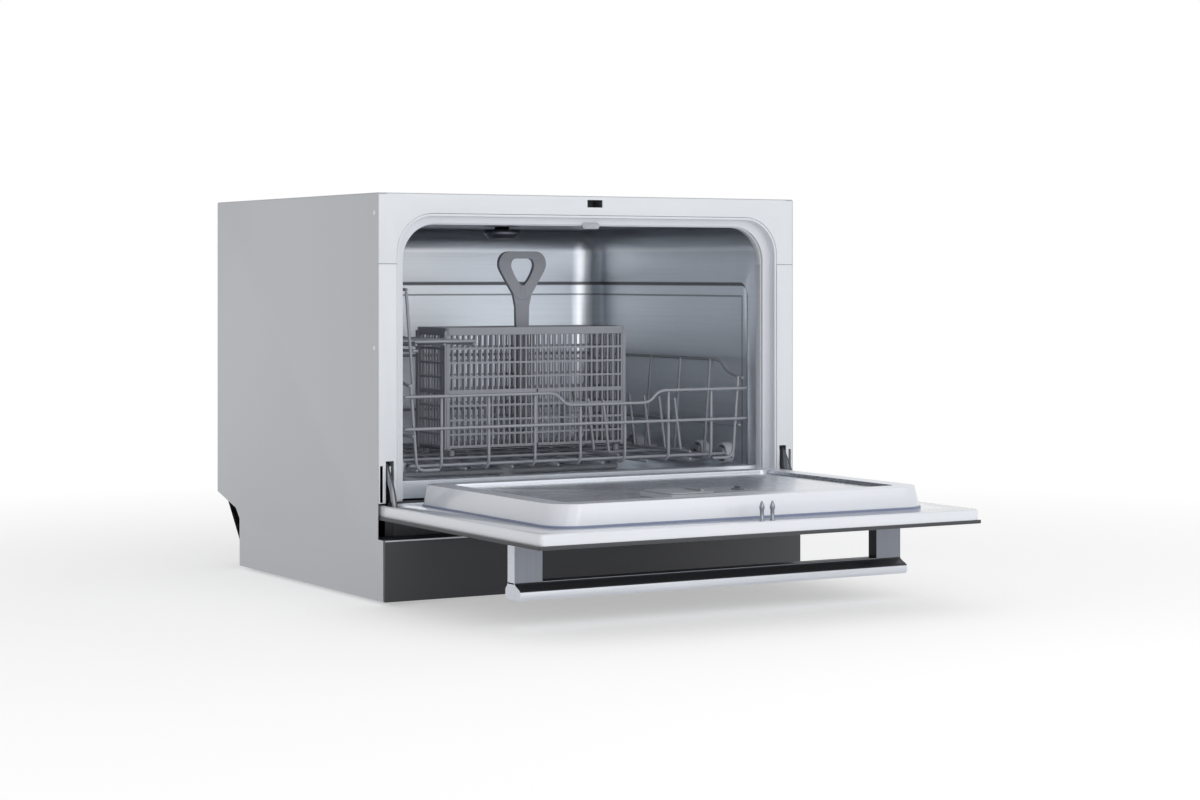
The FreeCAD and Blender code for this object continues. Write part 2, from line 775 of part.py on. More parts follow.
def makeUpperSprayHead():
    # Fixed shower head in the tub's ceiling, its stem passing through the sheet.
    body = newBody("upper_spray_head")
    top = s.tubTop + s.tubSheet
    pad(body, "z", s.tubTop - 14, s.tubTop - 3, lambda k: drawCircle(k, 0.0, 0.0, 22.0))
    bevel(body, 6.0, lambda e: e.CenterOfMass.z < float(s.tubTop) - 13)
    pad(body, "z", s.tubTop - 4, top + 5, lambda k: drawCircle(k, 0.0, 0.0, ceilingHole - s.clearGap))
    finish(body, "upper_spray_head", armX, armY, 0.0)


feedRadius = 7.5
feedRise = s.tubTop + 20.0
feedBack = s.tubBack + 22.0
feedLow = 97.0


def makeFeedPipe():
    # Flat-sided moulded pipe from the manifold up the back of the tub and over to the upper head.
    start = (armX, armY, s.tubTop + s.tubSheet + 5)
    bend = 8.0
    rise, back, low = float(feedRise), float(feedBack), feedLow
    route = [start, (armX, armY, rise - bend), (armX, armY + bend, rise), (armX, back - bend, rise)]
    route += [(armX, back, rise - bend), (armX, back, low + bend), (armX, back - bend, low), (armX, armY + 19.3, low)]
    shaped("spray_feed_pipe", wire(route, feedRadius, (1, 0, 0)))


pumpHeight = 50.0
pumpY = sumpY
pumpX = sumpX - 238


def makeWashPump():
    # Circulation pump: motor can, volute, the pipe that draws from the sump and the one to the heater.
    body = newBody("wash_pump")
    pad(body, "x", pumpX - 45, pumpX + 40, lambda k: drawCircle(k, pumpY, pumpHeight, 32.0))
    pad(body, "x", pumpX + 40, pumpX + 66, lambda k: drawCircle(k, pumpY, pumpHeight, 41.0))
    pad(body, "x", pumpX + 60, sumpX - sumpHole - 4, lambda k: drawCircle(k, pumpY, portHeight, 12.0))
    pad(body, "y", heaterY + heaterRadius, pumpY, lambda k: drawCircle(k, pumpX + 53, heaterHeight, 9.0))
    foot = trayFloor + trayWall
    pad(body, "z", foot, pumpHeight, lambda k: drawRectangle(k, pumpX - 10, pumpX + 10, pumpY - 24, pumpY + 24))
    finish(body, "wash_pump")


heaterY = armY
heaterRadius = 20.0


def makeFlowHeater():
    # Flow-through heater between the pump and the manifold.
    body = newBody("flow_heater")
    pad(body, "x", pumpX - 20, armX - 40, lambda k: drawCircle(k, heaterY, heaterHeight, heaterRadius))
    pad(body, "x", armX - 45, armX - 26, lambda k: drawCircle(k, heaterY, heaterHeight, 9.0))
    pad(body, "y", heaterY - 28, heaterY, lambda k: drawRectangle(k, pumpX - 5, pumpX + 30, heaterHeight - 4, heaterHeight + 4))
    finish(body, "flow_heater")


def makeDrainPump():
    # Small pump beside the sump that empties it through the spigot at the back.
    body = newBody("drain_pump")
    pad(body, "y", sumpY - 26, sumpY + 30, lambda k: drawCircle(k, drainX, portHeight - 16, 24.0))
    pad(body, "x", sumpX + sumpHole + 4, drainX - 10, lambda k: drawCircle(k, sumpY, portHeight, 8.0))
    foot = trayFloor + trayWall
    pad(body, "z", foot, portHeight - 16, lambda k: drawRectangle(k, drainX - 12, drainX + 12, sumpY - 14, sumpY + 14))
    pad(body, "y", sumpY + 25, trayBack - trayWall, lambda k: drawCircle(k, drainX, outletHeight + 6, 7.0))
    finish(body, "drain_pump")


def makeDrainSpigot():
    # Outlet for the drain hose with its screwed-on plate in the tray's back wall.
    body = newBody("drain_spigot")
    wall = trayBack
    pad(body, "y", wall - trayWall, wall + 26, lambda k: drawCircle(k, drainX, outletHeight, spigotRadius))
    pad(body, "y", wall, wall + 3, lambda k: drawRectangle(k, drainX - 17, drainX + 17, outletHeight - 14, outletHeight + 14))
    pocket(body, "y", wall + 3, wall + 27, lambda k: drawCircle(k, drainX, outletHeight, spigotRadius - 3))
    finish(body, "drain_spigot")


def makeInletValve():
    # Solenoid valve inside the tray with the hose thread standing out behind it.
    body = newBody("inlet_valve")
    wall = trayBack
    pad(body, "y", wall - 42, wall - trayWall - 0.2,
        lambda k: drawRectangle(k, inletX - 17, inletX + 17, outletHeight - 17, outletHeight + 17))
    pad(body, "z", outletHeight + 10, outletHeight + 28,
        lambda k: drawRectangle(k, inletX - 11, inletX + 11, wall - 36, wall - 12))
    pad(body, "y", wall - trayWall - 1, wall + 1, lambda k: drawCircle(k, inletX, outletHeight, inletRadius - 2))
    pad(body, "y", wall + 1, wall + 1 + inletReach, lambda k: drawCircle(k, inletX, outletHeight, inletRadius))
    pocket(body, "y", wall - 10, wall + inletReach + 2, lambda k: drawCircle(k, inletX, outletHeight, inletRadius - 4))
    finish(body, "inlet_valve")


def makeCordGland():
    # Strain-relief bush for the mains lead, with a six-sided nut inside the tray's back wall.
    body = newBody("cord_gland")
    wall = trayBack
    turns = [math.pi / 3 * number for number in range(6)]
    nut = [(glandX + 11 * math.cos(turn), outletHeight + 11 * math.sin(turn)) for turn in turns]
    pad(body, "y", wall - trayWall - 4, wall + 12, lambda k: drawCircle(k, glandX, outletHeight, glandRadius))
    pad(body, "y", wall - trayWall - 4, wall - trayWall, lambda k: drawPolygon(k, nut))
    pad(body, "y", wall, wall + 3, lambda k: drawPolygon(k, nut))
    pocket(body, "y", wall - trayWall - 7, wall + 13, lambda k: drawCircle(k, glandX, outletHeight, 4.0))
    finish(body, "cord_gland")


def makeLeakFloat():
    # Float in the tray that shuts the inlet when the tray floods, with its switch on top.
    body = newBody("leak_float")
    foot = trayFloor + trayWall
    pad(body, "z", foot, foot + 14, lambda k: drawRectangle(k, 128.0, 172.0, 176.0, 204.0))
    bevel(body, 4.0, lambda e: runsAlong(e, "z"))
    pad(body, "z", foot + 13, foot + 34, lambda k: drawRectangle(k, 138.0, 162.0, 184.0, 196.0))
    finish(body, "leak_float")


# Door hinges

eyeRadius = 4.4
pinRadius = 2.5
bracketBack = 62.0
springFront = 34.0


def plate(points, middle):
    # A flat plate seen along X, from its outline's depths and heights.
    wire = Part.makePolygon([Vector(middle - plateThickness / 2, y, z) for y, z in points + points[:1]])
    return Part.Face(wire).extrude(Vector(plateThickness, 0, 0))


def mirroredTo(side, shape):
    return shape if side > 0 else shape.mirror(Vector(0, 0, 0), Vector(1, 0, 0))


def makeHingeBracket(label, side):
    # Steel bracket on the tub's side that carries the hinge pin in front of the case.
    y, z = -s.hingeForward, s.hingeHeight
    outline = [(y - 3.1, z + 3.1), (y + 3.1, z - 3.1), (3.0, s.flangeLow), (bracketBack, s.flangeLow + 6)]
    outline += [(bracketBack, 172.0), (s.frameDepth + 4, 172.0), (4.0, 150.0), (4.0, 126.0), (-0.6, 112.0)]
    shape = plate(outline, bracketPlane)
    half = plateThickness / 2
    eye = rod((bracketPlane - half, y, z), (bracketPlane + half, y, z), eyeRadius)
    hingePin = rod((bracketPlane - half - 1, y, z), (armPlane + half + 1, y, z), pinRadius)
    tubSide = s.tubHalf + s.wallRecess + s.tubSheet
    tab = block(tubSide, bracketPlane, bracketBack - plateThickness, bracketBack, 151.0, 168.0)
    shape = shape.fuse([eye, hingePin, tab]).removeSplitter()
    shaped(label, mirroredTo(side, shape))


def makeHingeSpring(label, side):
    # Balance spring of the door between the bracket and a post of the tray, hooked at both ends.
    start = Vector(springX, springFront, 150.0)
    end = Vector(springX, springBack, 66.0)
    run = end - start
    coil = rod(start + run * 0.06, start + run * 0.94, 4.6)
    tail = block(springX - 1.5, springX + 1.5, springBack - 26, springBack, 65.0, 72.0)
    reach = bracketPlane - plateThickness / 2
    hook = block(springX - 1.5, reach, springFront - 1.5, springFront + 22, 143.5, 150.5)
    shape = coil.fuse([tail, hook]).removeSplitter()
    shaped(label, mirroredTo(side, shape))


# Door, drawn open with its hinge axis as the origin: the door runs along -Y and its inner side looks up

def onDoor(label, item):
    return finish(item, label, 0.0, -s.hingeForward, s.hingeHeight)


def doorShape(label, shape):
    return shaped(label, shape, 0.0, -s.hingeForward, s.hingeHeight)


glassTop = s.glassThickness - s.glassOffset
rimEnd = s.doorUpper - s.rimInset
notchDepth = 14.0
notchInner = armSlotInner
notchOuter = armPlane + plateThickness + 0.3


def makeDoorGlass():
    # Dark glass front of the door, lying lowest while the door is open.
    body = newBody("door_glass")
    pad(body, "z", -s.glassOffset, glassTop, lambda k: drawRectangle(k, -s.glassHalf, s.glassHalf, -s.doorUpper, s.doorLower))
    fillet(body, 2.0, lambda e: runsAlong(e, "z"))
    onDoor("door_glass", body)


def makeDoorFrame():
    # White pan behind the glass, open towards it and notched for the hinges.
    body = newBody("door_frame")
    low, high = -rimEnd, s.doorLower - s.rimInset
    wall = s.rimWall
    pad(body, "z", glassTop, s.rimTop, lambda k: drawRectangle(k, -s.rimHalf, s.rimHalf, low, high))
    fillet(body, 5.0, lambda e: runsAlong(e, "z"))
    bevel(body, 1.2, lambda e: e.CenterOfMass.z > float(s.rimTop) - 0.1)
    half = s.rimHalf - wall
    pocket(body, "z", glassTop - 1, s.rimTop - wall, lambda k: drawRectangle(k, -half, half, low + wall, high - wall))
    for side in (-1, 1):
        ends = sorted((side * (notchInner - wall), side * (notchOuter + wall)))
        pad(body, "z", glassTop, s.rimTop - 0.5,
            lambda k: drawRectangle(k, ends[0], ends[1], -notchDepth - wall, high - 0.5))
        ends = sorted((side * notchInner, side * notchOuter))
        pocket(body, "z", glassTop - 1, s.rimTop + 1, lambda k: drawRectangle(k, ends[0], ends[1], -notchDepth, high + 1))
    opening = s.plugHalf - 16
    pocket(body, "z", glassTop, s.rimTop + 1,
           lambda k: drawRectangle(k, -opening, opening, 16 - s.plugHigh, -s.plugLow - 16))
    onDoor("door_frame", body)


dispenserLeft, dispenserRight = -80.0, 35.0
dispenserLow, dispenserHigh = s.doorUpper - 131, s.doorUpper - 66
dispenserTop = 31.6
dishRadius = 8.0


def plugLoft(grow, base, top):
    # The plug's tapered block between two heights, grown or drawn in on every side.
    wires = []
    for height in (base, top):
        draw = s.plugDraft * (height - s.rimTop) / s.plugHeight - grow
        wires.append(roundedRectangle(-s.plugHalf + draw, s.plugHalf - draw, draw - s.plugHigh, -s.plugLow - draw,
                                      height, max(s.plugRadius + grow, dishRadius), max(s.plugEndRadius + grow, dishRadius)))
    return Part.makeLoft(wires, True, True)


def makeInnerPanel():
    # Steel plug that fills the mouth when the door is shut: a tapered shell with a sunk dish.
    base = s.rimTop + 0.02
    top = s.rimTop + s.plugHeight
    dish = plugLoft(-s.plugBorder, top - s.plugDish, top + 4)
    under = plugLoft(s.plugSheet - s.plugBorder, top - s.plugDish - s.plugSheet, top + 4)
    hollow = plugLoft(-s.plugSheet, base - 2, top - s.plugSheet).cut(under)
    shell = plugLoft(0.0, base, top).cut([hollow, dish])
    window = block(dispenserLeft + 5, dispenserRight - 5, 5 - dispenserHigh, -dispenserLow - 5, 0.0, top + 1)
    doorShape("door_inner_panel", shell.cut(window).removeSplitter())


def makeHandle():
    # Bar handle on the glass: two wide legs and a grip that flares to a lip.
    body = newBody("door_handle")
    outer = -s.glassOffset - 0.02
    grip = outer - s.handleNeck
    end = outer - s.handleReach
    window = s.handleHalf - s.handleLegWidth
    near, far = -s.handleCentre - s.handleLeg / 2, -s.handleCentre + s.handleLeg / 2
    pad(body, "y", near, far, lambda k: drawRectangle(k, -s.handleHalf, s.handleHalf, end + 3, outer))
    pocket(body, "y", near - 1, far + 1, lambda k: drawRectangle(k, -window, window, grip, outer + 1))
    lip = s.handleGrip / 2
    middle = -s.handleCentre - 3.6
    flare = [(near, end + 16), (near - 2, end + 10), (middle - lip, end + s.handleLip), (middle - lip, end + 3)]
    flare += [(middle - lip + 4, end), (middle + lip - 4, end), (middle + lip, end + 3)]
    flare += [(middle + lip, end + s.handleLip), (far + 2, end + 10), (far, end + 16)]
    pad(body, "x", -s.handleHalf, s.handleHalf, lambda k: drawPolygon(k, flare))
    onDoor("door_handle", body)


hookPlace = s.doorUpper - 8.6


def makeLatchHook():
    # Two-pronged arrow hook that snaps into the lock.
    foot = s.rimTop + 0.02
    pieces = [block(-9.0, 9.0, -hookPlace - 3.6, -hookPlace + 3.6, foot, foot + 1.5)]
    for side in (-1, 1):
        x0, x1 = sorted((side * 2.0, side * 8.0))
        pieces.append(block(x0, x1, -hookPlace - 1.6, -hookPlace + 1.6, foot + 1, foot + 14))
        barb = Part.makePolygon([Vector(x0, -hookPlace + y, foot + z) for y, z in
                                 ((-3.6, 13.0), (3.6, 13.0), (0.6, 20.0), (-0.6, 20.0), (-3.6, 13.0))])
        pieces.append(Part.Face(barb).extrude(Vector(x1 - x0, 0, 0)))
    doorShape("latch_hook", pieces[0].fuse(pieces[1:]).removeSplitter())


cupLeft, cupRight = -72.0, -38.0
lidLeft, lidRight = -77.0, -24.0
capX, capRadius, capStem = 22.3, 7.5, 5.0
capPlace = s.doorUpper - 96


def makeDispenser():
    # Detergent and rinse-aid dispenser let into the plug, with its open cup and filler hole.
    body = newBody("dispenser_body")
    seat = s.rimTop + s.plugHeight - s.plugDish + 0.02
    low, high = -dispenserHigh, -dispenserLow
    pad(body, "z", seat, dispenserTop, lambda k: drawRectangle(k, dispenserLeft, dispenserRight, low, high))
    fillet(body, 4.0, lambda e: runsAlong(e, "z"))
    pad(body, "z", 9.0, seat + 1, lambda k: drawRectangle(k, dispenserLeft + 5.3, dispenserRight - 5.3, low + 5.3, high - 5.3))
    pocket(body, "z", 12.0, dispenserTop + 1, lambda k: drawRectangle(k, cupLeft, cupRight, low + 9, high - 9))
    pocket(body, "z", 14.0, dispenserTop + 1, lambda k: drawCircle(k, capX, -capPlace, capStem + s.runningGap))
    onDoor("dispenser_body", body)


def makeDetergentLid():
    # Sliding lid over the detergent cup, with a raised finger edge.
    body = newBody("detergent_lid")
    low, high = 4 - dispenserHigh, -dispenserLow - 4
    top = dispenserTop + s.runningGap
    pad(body, "z", top, top + 1.6, lambda k: drawRectangle(k, lidLeft, lidRight, low, high))
    fillet(body, 4.0, lambda e: runsAlong(e, "z"))
    pad(body, "z", top + 1, top + 3.2, lambda k: drawRectangle(k, lidRight - 9, lidRight - 6, low + 12, high - 12))
    onDoor("detergent_lid", body)


def makeRinseCap():
    # Rinse-aid cap: a plug in the filler hole, turned by its bar.
    body = newBody("rinse_cap")
    top = dispenserTop + s.runningGap
    pad(body, "z", 18.0, top + 0.5, lambda k: drawCircle(k, capX, -capPlace, capStem))
    pad(body, "z", top, top + 1.2, lambda k: drawCircle(k, capX, -capPlace, capRadius))
    pad(body, "z", top + 1, top + 3.2, lambda k: drawRectangle(k, capX - 1.2, capX + 1.2, -capPlace - 6, 6 - capPlace))
    onDoor("rinse_cap", body)


def makeControlBoard():
    # Touch-control board on the inside of the glass near the door's upper edge.
    body = newBody("control_board")
    low, high = -rimEnd + s.rimWall + 1, -s.plugHigh - 2
    pad(body, "z", glassTop, glassTop + 1.6, lambda k: drawRectangle(k, -90.0, 90.0, low, high))
    pad(body, "z", glassTop + 1, glassTop + 5.0, lambda k: drawRectangle(k, -70.0, -40.0, low + 6, high - 6))
    onDoor("control_board", body)


neckLine = ((-16.0, -1.0), (-8.6, 8.5), (-4.0, 22.0), (6.0, 38.0), (14.0, 49.0), (22.0, 57.0))
neckHalf = 4.6


def makeHingeArm(label, side):
    # Swan-necked arm: it turns on the bracket's pin and runs back into the case to the spring.
    upper, lower = [], []
    for index, (y, z) in enumerate(neckLine):
        before = neckLine[max(index - 1, 0)]
        after = neckLine[min(index + 1, len(neckLine) - 1)]
        length = math.hypot(after[0] - before[0], after[1] - before[1])
        across = ((before[1] - after[1]) / length * neckHalf, (after[0] - before[0]) / length * neckHalf)
        upper.append((y + across[0], z + across[1]))
        lower.append((y - across[0], z - across[1]))
    neck = plate(upper[1:] + lower[1:][::-1] + [(0.0, -4.2), (-notchDepth + 0.02, -4.2), (-notchDepth + 0.02, 4.0)], armPlane)
    half = plateThickness / 2
    eye = rod((armPlane - half, 0, 0), (armPlane + half, 0, 0), eyeRadius)
    foot = block(notchInner + 0.5, armPlane, -notchDepth + 0.02, 2.2 - notchDepth, -4.2, 4.0)
    bore = rod((armPlane - 4, 0, 0), (armPlane + 4, 0, 0), pinRadius + s.runningGap)
    shape = neck.fuse([eye, foot]).cut(bore).removeSplitter()
    doorShape(label, mirroredTo(side, shape))


# Rack, measured from its front plane; wires touch where one layer crosses another

layer = s.wireRadius * 2 + s.runningGap
skim = s.runningGap
sideRail = s.mouthHalf - 27
sideLean = 0.078
floorTop = s.rackFloor + s.wireRadius + 0.01
frontUprights = [60.0 * number for number in range(-3, 4)]
sideUprights = (67.0, 135.0, 204.0, 272.0, 340.0)
crossPlaces = (20.0, 112.0, 178.0, 240.0, 300.0, 352.0)
dipStart, dipEnd, dipRun = -22.0, 92.0, 12.0


def sidePlane(height):
    # How far out the leaning side wires stand at a height.
    return sideRail + (height - s.rackFloor) * sideLean


def onRack(label, shapes):
    return shaped(label, Part.makeCompound(shapes), 0.0, s.rackInset, 0.0)


def makeRackFloor():
    # Long wires along the rack and cross wires laid over them.
    up = (0, 0, 1)
    z = float(s.rackFloor)
    shapes = [wire([(x, s.wireRadius, z), (x, s.rackDepth - s.wireRadius, z)], s.wireRadius, up)
              for x in [30.0 * number for number in range(-6, 7)]]
    reach = sideRail + s.wireRadius
    high = z + layer
    shapes += [wire([(-reach, y, high), (reach, y, high)], s.wireRadius, up) for y in crossPlaces]
    onRack("rack_floor", shapes)


def frontTop(x):
    # Height of the front's upper wire, which dips in the middle.
    return s.rackDip if dipStart - dipRun < x < dipEnd + dipRun else s.rackFront


def makeRackFront():
    # Front grille: upright wires on the floor wires, and two cross wires before them.
    side = (0, 1, 0)
    shapes = [wire([(x, layer, floorTop), (x, layer, frontTop(x) + s.wireRadius)], s.wireRadius, side) for x in frontUprights]
    for way in (-1, 1):
        low = Vector(way * sidePlane(floorTop), layer, floorTop)
        high = Vector(way * sidePlane(239.0), layer, 239.0)
        shapes.append(wire([low, high], s.wireRadius, side))
    half = sidePlane(s.rackMiddle) + s.wireRadius - skim
    shapes.append(wire([(-half, 0, s.rackMiddle), (half, 0, s.rackMiddle)], s.wireRadius, side))
    half = sidePlane(s.rackFront) + s.wireRadius - skim
    top = [(-half, 0, s.rackFront), (dipStart - dipRun, 0, s.rackFront), (dipStart, 0, s.rackDip)]
    top += [(dipEnd, 0, s.rackDip), (dipEnd + dipRun, 0, s.rackFront), (half, 0, s.rackFront)]
    shapes.append(wire(top, s.wireRadius, side))
    onRack("rack_front", shapes)


def makeRackBack():
    # Back grille, as high as the sides.
    side = (0, 1, 0)
    depth = s.rackDepth - layer
    shapes = [wire([(x, depth, floorTop), (x, depth, s.rackSide + s.wireRadius)], s.wireRadius, side) for x in frontUprights]
    for way in (-1, 1):
        shapes.append(wire([(way * sidePlane(floorTop), depth, floorTop),
                            (way * sidePlane(s.rackSide), depth, s.rackSide)], s.wireRadius, side))
    for height in (s.rackMiddle, s.rackSide):
        half = sidePlane(height) + s.wireRadius - skim
        shapes.append(wire([(-half, s.rackDepth, height), (half, s.rackDepth, height)], s.wireRadius, side))
    onRack("rack_back", shapes)


sideMiddle = 180.0


def makeRackSide(label, way):
    # Side grille that leans outwards: rail, uprights, a middle wire, an upper wire that comes down at the front, and
    # the wheels' axles.
    side = (1, 0, 0)
    shapes = [wire([(way * sideRail, s.wireRadius, s.rackFloor), (way * sideRail, s.rackDepth - s.wireRadius, s.rackFloor)],
                   s.wireRadius, side)]
    for y in sideUprights:
        shapes.append(wire([(way * sidePlane(floorTop), y, floorTop), (way * sidePlane(s.rackSide), y, s.rackSide)],
                           s.wireRadius, side))
    x = way * (sidePlane(sideMiddle) + layer)
    start, end = -s.wireRadius, s.rackDepth + s.wireRadius
    shapes.append(wire([(x, start, sideMiddle), (x, end, sideMiddle)], s.wireRadius, side))
    outline = [(end, s.rackSide), (53.0, s.rackSide), (32.0, 242.0), (start, 236.0)]
    path = [(way * (sidePlane(z) + layer), y, z) for y, z in outline]
    shapes.append(wire(path, s.wireRadius, side))
    onRack(label, shapes + wheelClips(way))


tinePitch = 35.0
tineRows = ((60.0, (40.0, 75.0, 215.0, 250.0, 285.0, 320.0)), (160.0, tuple(40.0 + tinePitch * n for n in range(9))))
tineRise = 62.0
tineLean = 14.0


def makePlateTines():
    # Two rows of leaning plate tines on wires laid over the floor.
    up = (0, 0, 1)
    base = s.rackFloor + layer * 2
    shapes = []
    for x, places in tineRows:
        groups = [[y for y in places if y < 100], [y for y in places if y > 190]] if x < 122 else [list(places)]
        for group in groups:
            shapes.append(wire([(x, group[0] - 22, base), (x, group[-1] + 22, base)], s.wireRadius, up))
        for y in places:
            foot = base + s.wireRadius + 0.01
            shapes.append(wire([(x, y, foot), (x, y + tineLean, foot + tineRise)], s.wireRadius, (1, 0, 0)))
    onRack("plate_tines", shapes)


fencePlaces = (6.0, 47.0, 117.0, 160.0, 214.0, 254.0)
fenceTop = 341.5
fenceLow = 224.0
shelfHinge = (1.0 - sideRail, 275.0)
shelfStart, shelfEnd = 22.0, 278.0
shelfReach = 82.0
shelfRise = 3.0


def makeShelfFence():
    # Tall tines inside the left side, joined by an upper rod, with the rod that the cup shelf turns on.
    side = (1, 0, 0)
    offset = layer
    shapes = []
    for y in fencePlaces:
        path = [(offset - sidePlane(z), y, z) for z in (fenceLow, fenceTop)]
        shapes.append(wire(path, s.wireRadius, side))
    x = offset - sidePlane(fenceTop)
    shapes.append(wire([(x, fencePlaces[0] - 2, fenceTop + layer / 2), (x, fencePlaces[-1] + 2, fenceTop + layer / 2)],
                       s.wireRadius, side))
    hingeX, hingeZ = shelfHinge
    shapes.append(rod((hingeX, fencePlaces[0] - 2, hingeZ), (hingeX, fencePlaces[-1] + 30, hingeZ), s.wireRadius))
    reach = offset - sidePlane(hingeZ) + s.wireRadius
    for y in (fencePlaces[0], fencePlaces[-1]):
        shapes.append(wire([(reach + skim, y, hingeZ), (hingeX - s.wireRadius - 0.01, y, hingeZ)], s.wireRadius, (0, 0, 1)))
    onRack("shelf_fence", shapes)


def makeCupShelf():
    # Folding cup shelf: two clips on the hinge rod carry a frame of wires.
    hingeX, hingeZ = shelfHinge
    z = hingeZ + shelfRise + 3.0
    near, far = hingeX + 6, hingeX + shelfReach
    up = (0, 0, 1)
    shapes = []
    for y in (75.0, 205.0):
        clip = rod((hingeX, y - 6, hingeZ), (hingeX, y + 6, hingeZ), 4.2)
        arm = block(hingeX, near + 4, y - 6, y + 6, hingeZ + 2.2, hingeZ + 4.16)
        bore = rod((hingeX, y - 7, hingeZ), (hingeX, y + 7, hingeZ), s.wireRadius + s.runningGap)
        shapes.append(clip.fuse(arm).cut(bore).removeSplitter())
    rise = hingeZ + 4.18 + s.wireRadius
    rails = [near + s.wireRadius, (near + far) / 2, far]
    for x in rails:
        shapes.append(wire([(x, shelfStart, rise), (x, shelfEnd, rise)], s.wireRadius, up))
    count = 8
    for number in range(count):
        y = shelfStart + 4 + (shelfEnd - shelfStart - 8) * number / (count - 1)
        shapes.append(wire([(near, y, rise + layer), (far + 1.8, y, rise + layer)], s.wireRadius, up))
    onRack("cup_shelf", shapes)


wheelHeight = s.railHeight + s.wheelRadius + s.clearGap * 2
wheelPlaces = (s.wheelFirst, s.wheelFirst + s.wheelPair, s.wheelRear)


def wheelClips(way):
    # Clips outside the side rail, each with the axle of one wheel.
    shapes = []
    inner = sideRail + s.wireRadius + 0.02
    outer = s.wheelTrack - s.wheelWidth / 2 - s.clearGap
    for y in wheelPlaces:
        y = float(y)
        x0, x1 = sorted((way * inner, way * outer))
        clip = block(x0, x1, y - 9, y + 9, s.rackFloor - 4, wheelHeight + 6)
        axle = rod((way * inner, y, wheelHeight), (way * (s.wheelTrack + s.wheelWidth / 2 + 1), y, wheelHeight), s.axleRadius)
        shapes.append(clip.fuse(axle).removeSplitter())
    return shapes


def makeWheel(label, way, place):
    # Rack wheel with its bore and a recessed outer face.
    body = newBody(label)
    half = s.wheelWidth / 2
    pad(body, "x", -half, half, lambda k: [drawCircle(k, 0.0, 0.0, s.wheelRadius),
                                           drawCircle(k, 0.0, 0.0, s.axleRadius + s.runningGap)])
    finish(body, label, way * s.wheelTrack, s.rackInset + place, wheelHeight)


basketHalf = 122.0
basketFront, basketBack = 105.0, 185.0
basketLow, basketTop = 155.0, 298.0
basketWall = 2.0
basketFeet = 147.0
loopHalf, loopHole, loopTop = 34.0, 15.0, 388.0


def makeCutleryBasket():
    # Cutlery basket: windowed walls, thicker rim, one divider, feet and a loop handle.
    body = newBody("cutlery_basket")
    wall = basketWall
    middle = (basketFront + basketBack) / 2
    pad(body, "z", basketLow, basketTop, lambda k: drawRectangle(k, -basketHalf + 1, basketHalf - 1, basketFront + 1, basketBack - 1))
    pad(body, "z", basketTop - 10, basketTop, lambda k: drawRectangle(k, -basketHalf, basketHalf, basketFront, basketBack))
    for x0, x1 in ((1 - basketHalf + wall, -1.0), (1.0, basketHalf - wall - 1)):
        pocket(body, "z", basketLow + wall, basketTop + 1,
               lambda k: drawRectangle(k, x0, x1, basketFront + wall + 1, basketBack - wall - 1))
    pitch = 19.0
    rows = ((basketLow + 10, basketLow + 62), (basketLow + 70, basketTop - 16))
    starts = [side * (5.0 + pitch * n) for side in (-1, 1) for n in range(6)]
    def windows(sketch):
        for low, high in rows:
            for start in starts:
                drawRectangle(sketch, *sorted((start, start + math.copysign(13.0, start))), low, high)
    pocket(body, "y", basketFront, basketBack, windows)
    def ends(sketch):
        for low, high in rows:
            for y in (basketFront + 10, basketFront + 33, basketFront + 56):
                drawRectangle(sketch, y, y + 14, low, high)
    pocket(body, "x", basketHalf - wall - 2, basketHalf + 1, ends)
    pocket(body, "x", -basketHalf - 1, wall + 2 - basketHalf, ends)
    for x in (-basketHalf + 6, basketHalf - 14):
        pad(body, "z", basketFeet, basketLow + 1, lambda k: drawRectangle(k, x, x + 8, 109.0, 115.0))
        pad(body, "z", basketFeet, basketLow + 1, lambda k: drawRectangle(k, x, x + 8, 175.0, 181.0))
    loop = [(-9.0, basketTop - 12), (9.0, basketTop - 12), (loopHalf, loopTop - 14), (loopHalf - 8, loopTop)]
    loop += [(8 - loopHalf, loopTop), (-loopHalf, loopTop - 14)]
    hole = [(-3.0, basketTop + 22), (3.0, basketTop + 22), (loopHole + 3, loopTop - 20), (loopHole, loopTop - 14)]
    hole += [(-loopHole, loopTop - 14), (-loopHole - 3, loopTop - 20)]
    pad(body, "y", middle - 2, middle + 2, lambda k: drawPolygon(k, loop))
    pocket(body, "y", middle - 3, middle + 3, lambda k: drawPolygon(k, hole))
    pad(body, "z", basketLow + wall, basketTop - 12, lambda k: drawRectangle(k, -1.0, 1.0, middle - 3, middle + 3))
    finish(body, "cutlery_basket", 0.0, s.rackInset, 0.0)


# The whole machine

makeSidePanel("side_panel_left", -1)
makeSidePanel("side_panel_right", 1)
makeTopPanel()
makeBackPanel()
makeBaseTray()
makeFeet()
makePlinth()
makeTrim()
makePillar("front_pillar_left", -1)
makePillar("front_pillar_right", 1)
makeDoorSeal()
makeDoorLock()
makeSplashTab()
makeTub()
makeSump()
makeFilterPlate()
makeFilterCylinder()
makeSprayArm()
makeUpperSprayHead()
makeFeedPipe()
makeWashPump()
makeFlowHeater()
makeDrainPump()
makeDrainSpigot()
makeInletValve()
makeCordGland()
makeLeakFloat()
makeDoorGlass()
makeDoorFrame()
makeInnerPanel()
makeHandle()
makeLatchHook()
makeDispenser()
makeDetergentLid()
makeRinseCap()
makeControlBoard()
makeRackFloor()
makeRackFront()
makeRackBack()
makePlateTines()
makeShelfFence()
makeCupShelf()
makeCutleryBasket()
for word, way in (("left", -1), ("right", 1)):
    makeHingeBracket("hinge_bracket_" + word, way)
    makeHingeSpring("hinge_spring_" + word, way)
    makeHingeArm("hinge_arm_" + word, way)
    makeRackSide("rack_side_" + word, way)
    for row, wheelPlace in zip(("front", "middle", "rear"), wheelPlaces):
        makeWheel("wheel_%s_%s" % (word, row), way, wheelPlace)

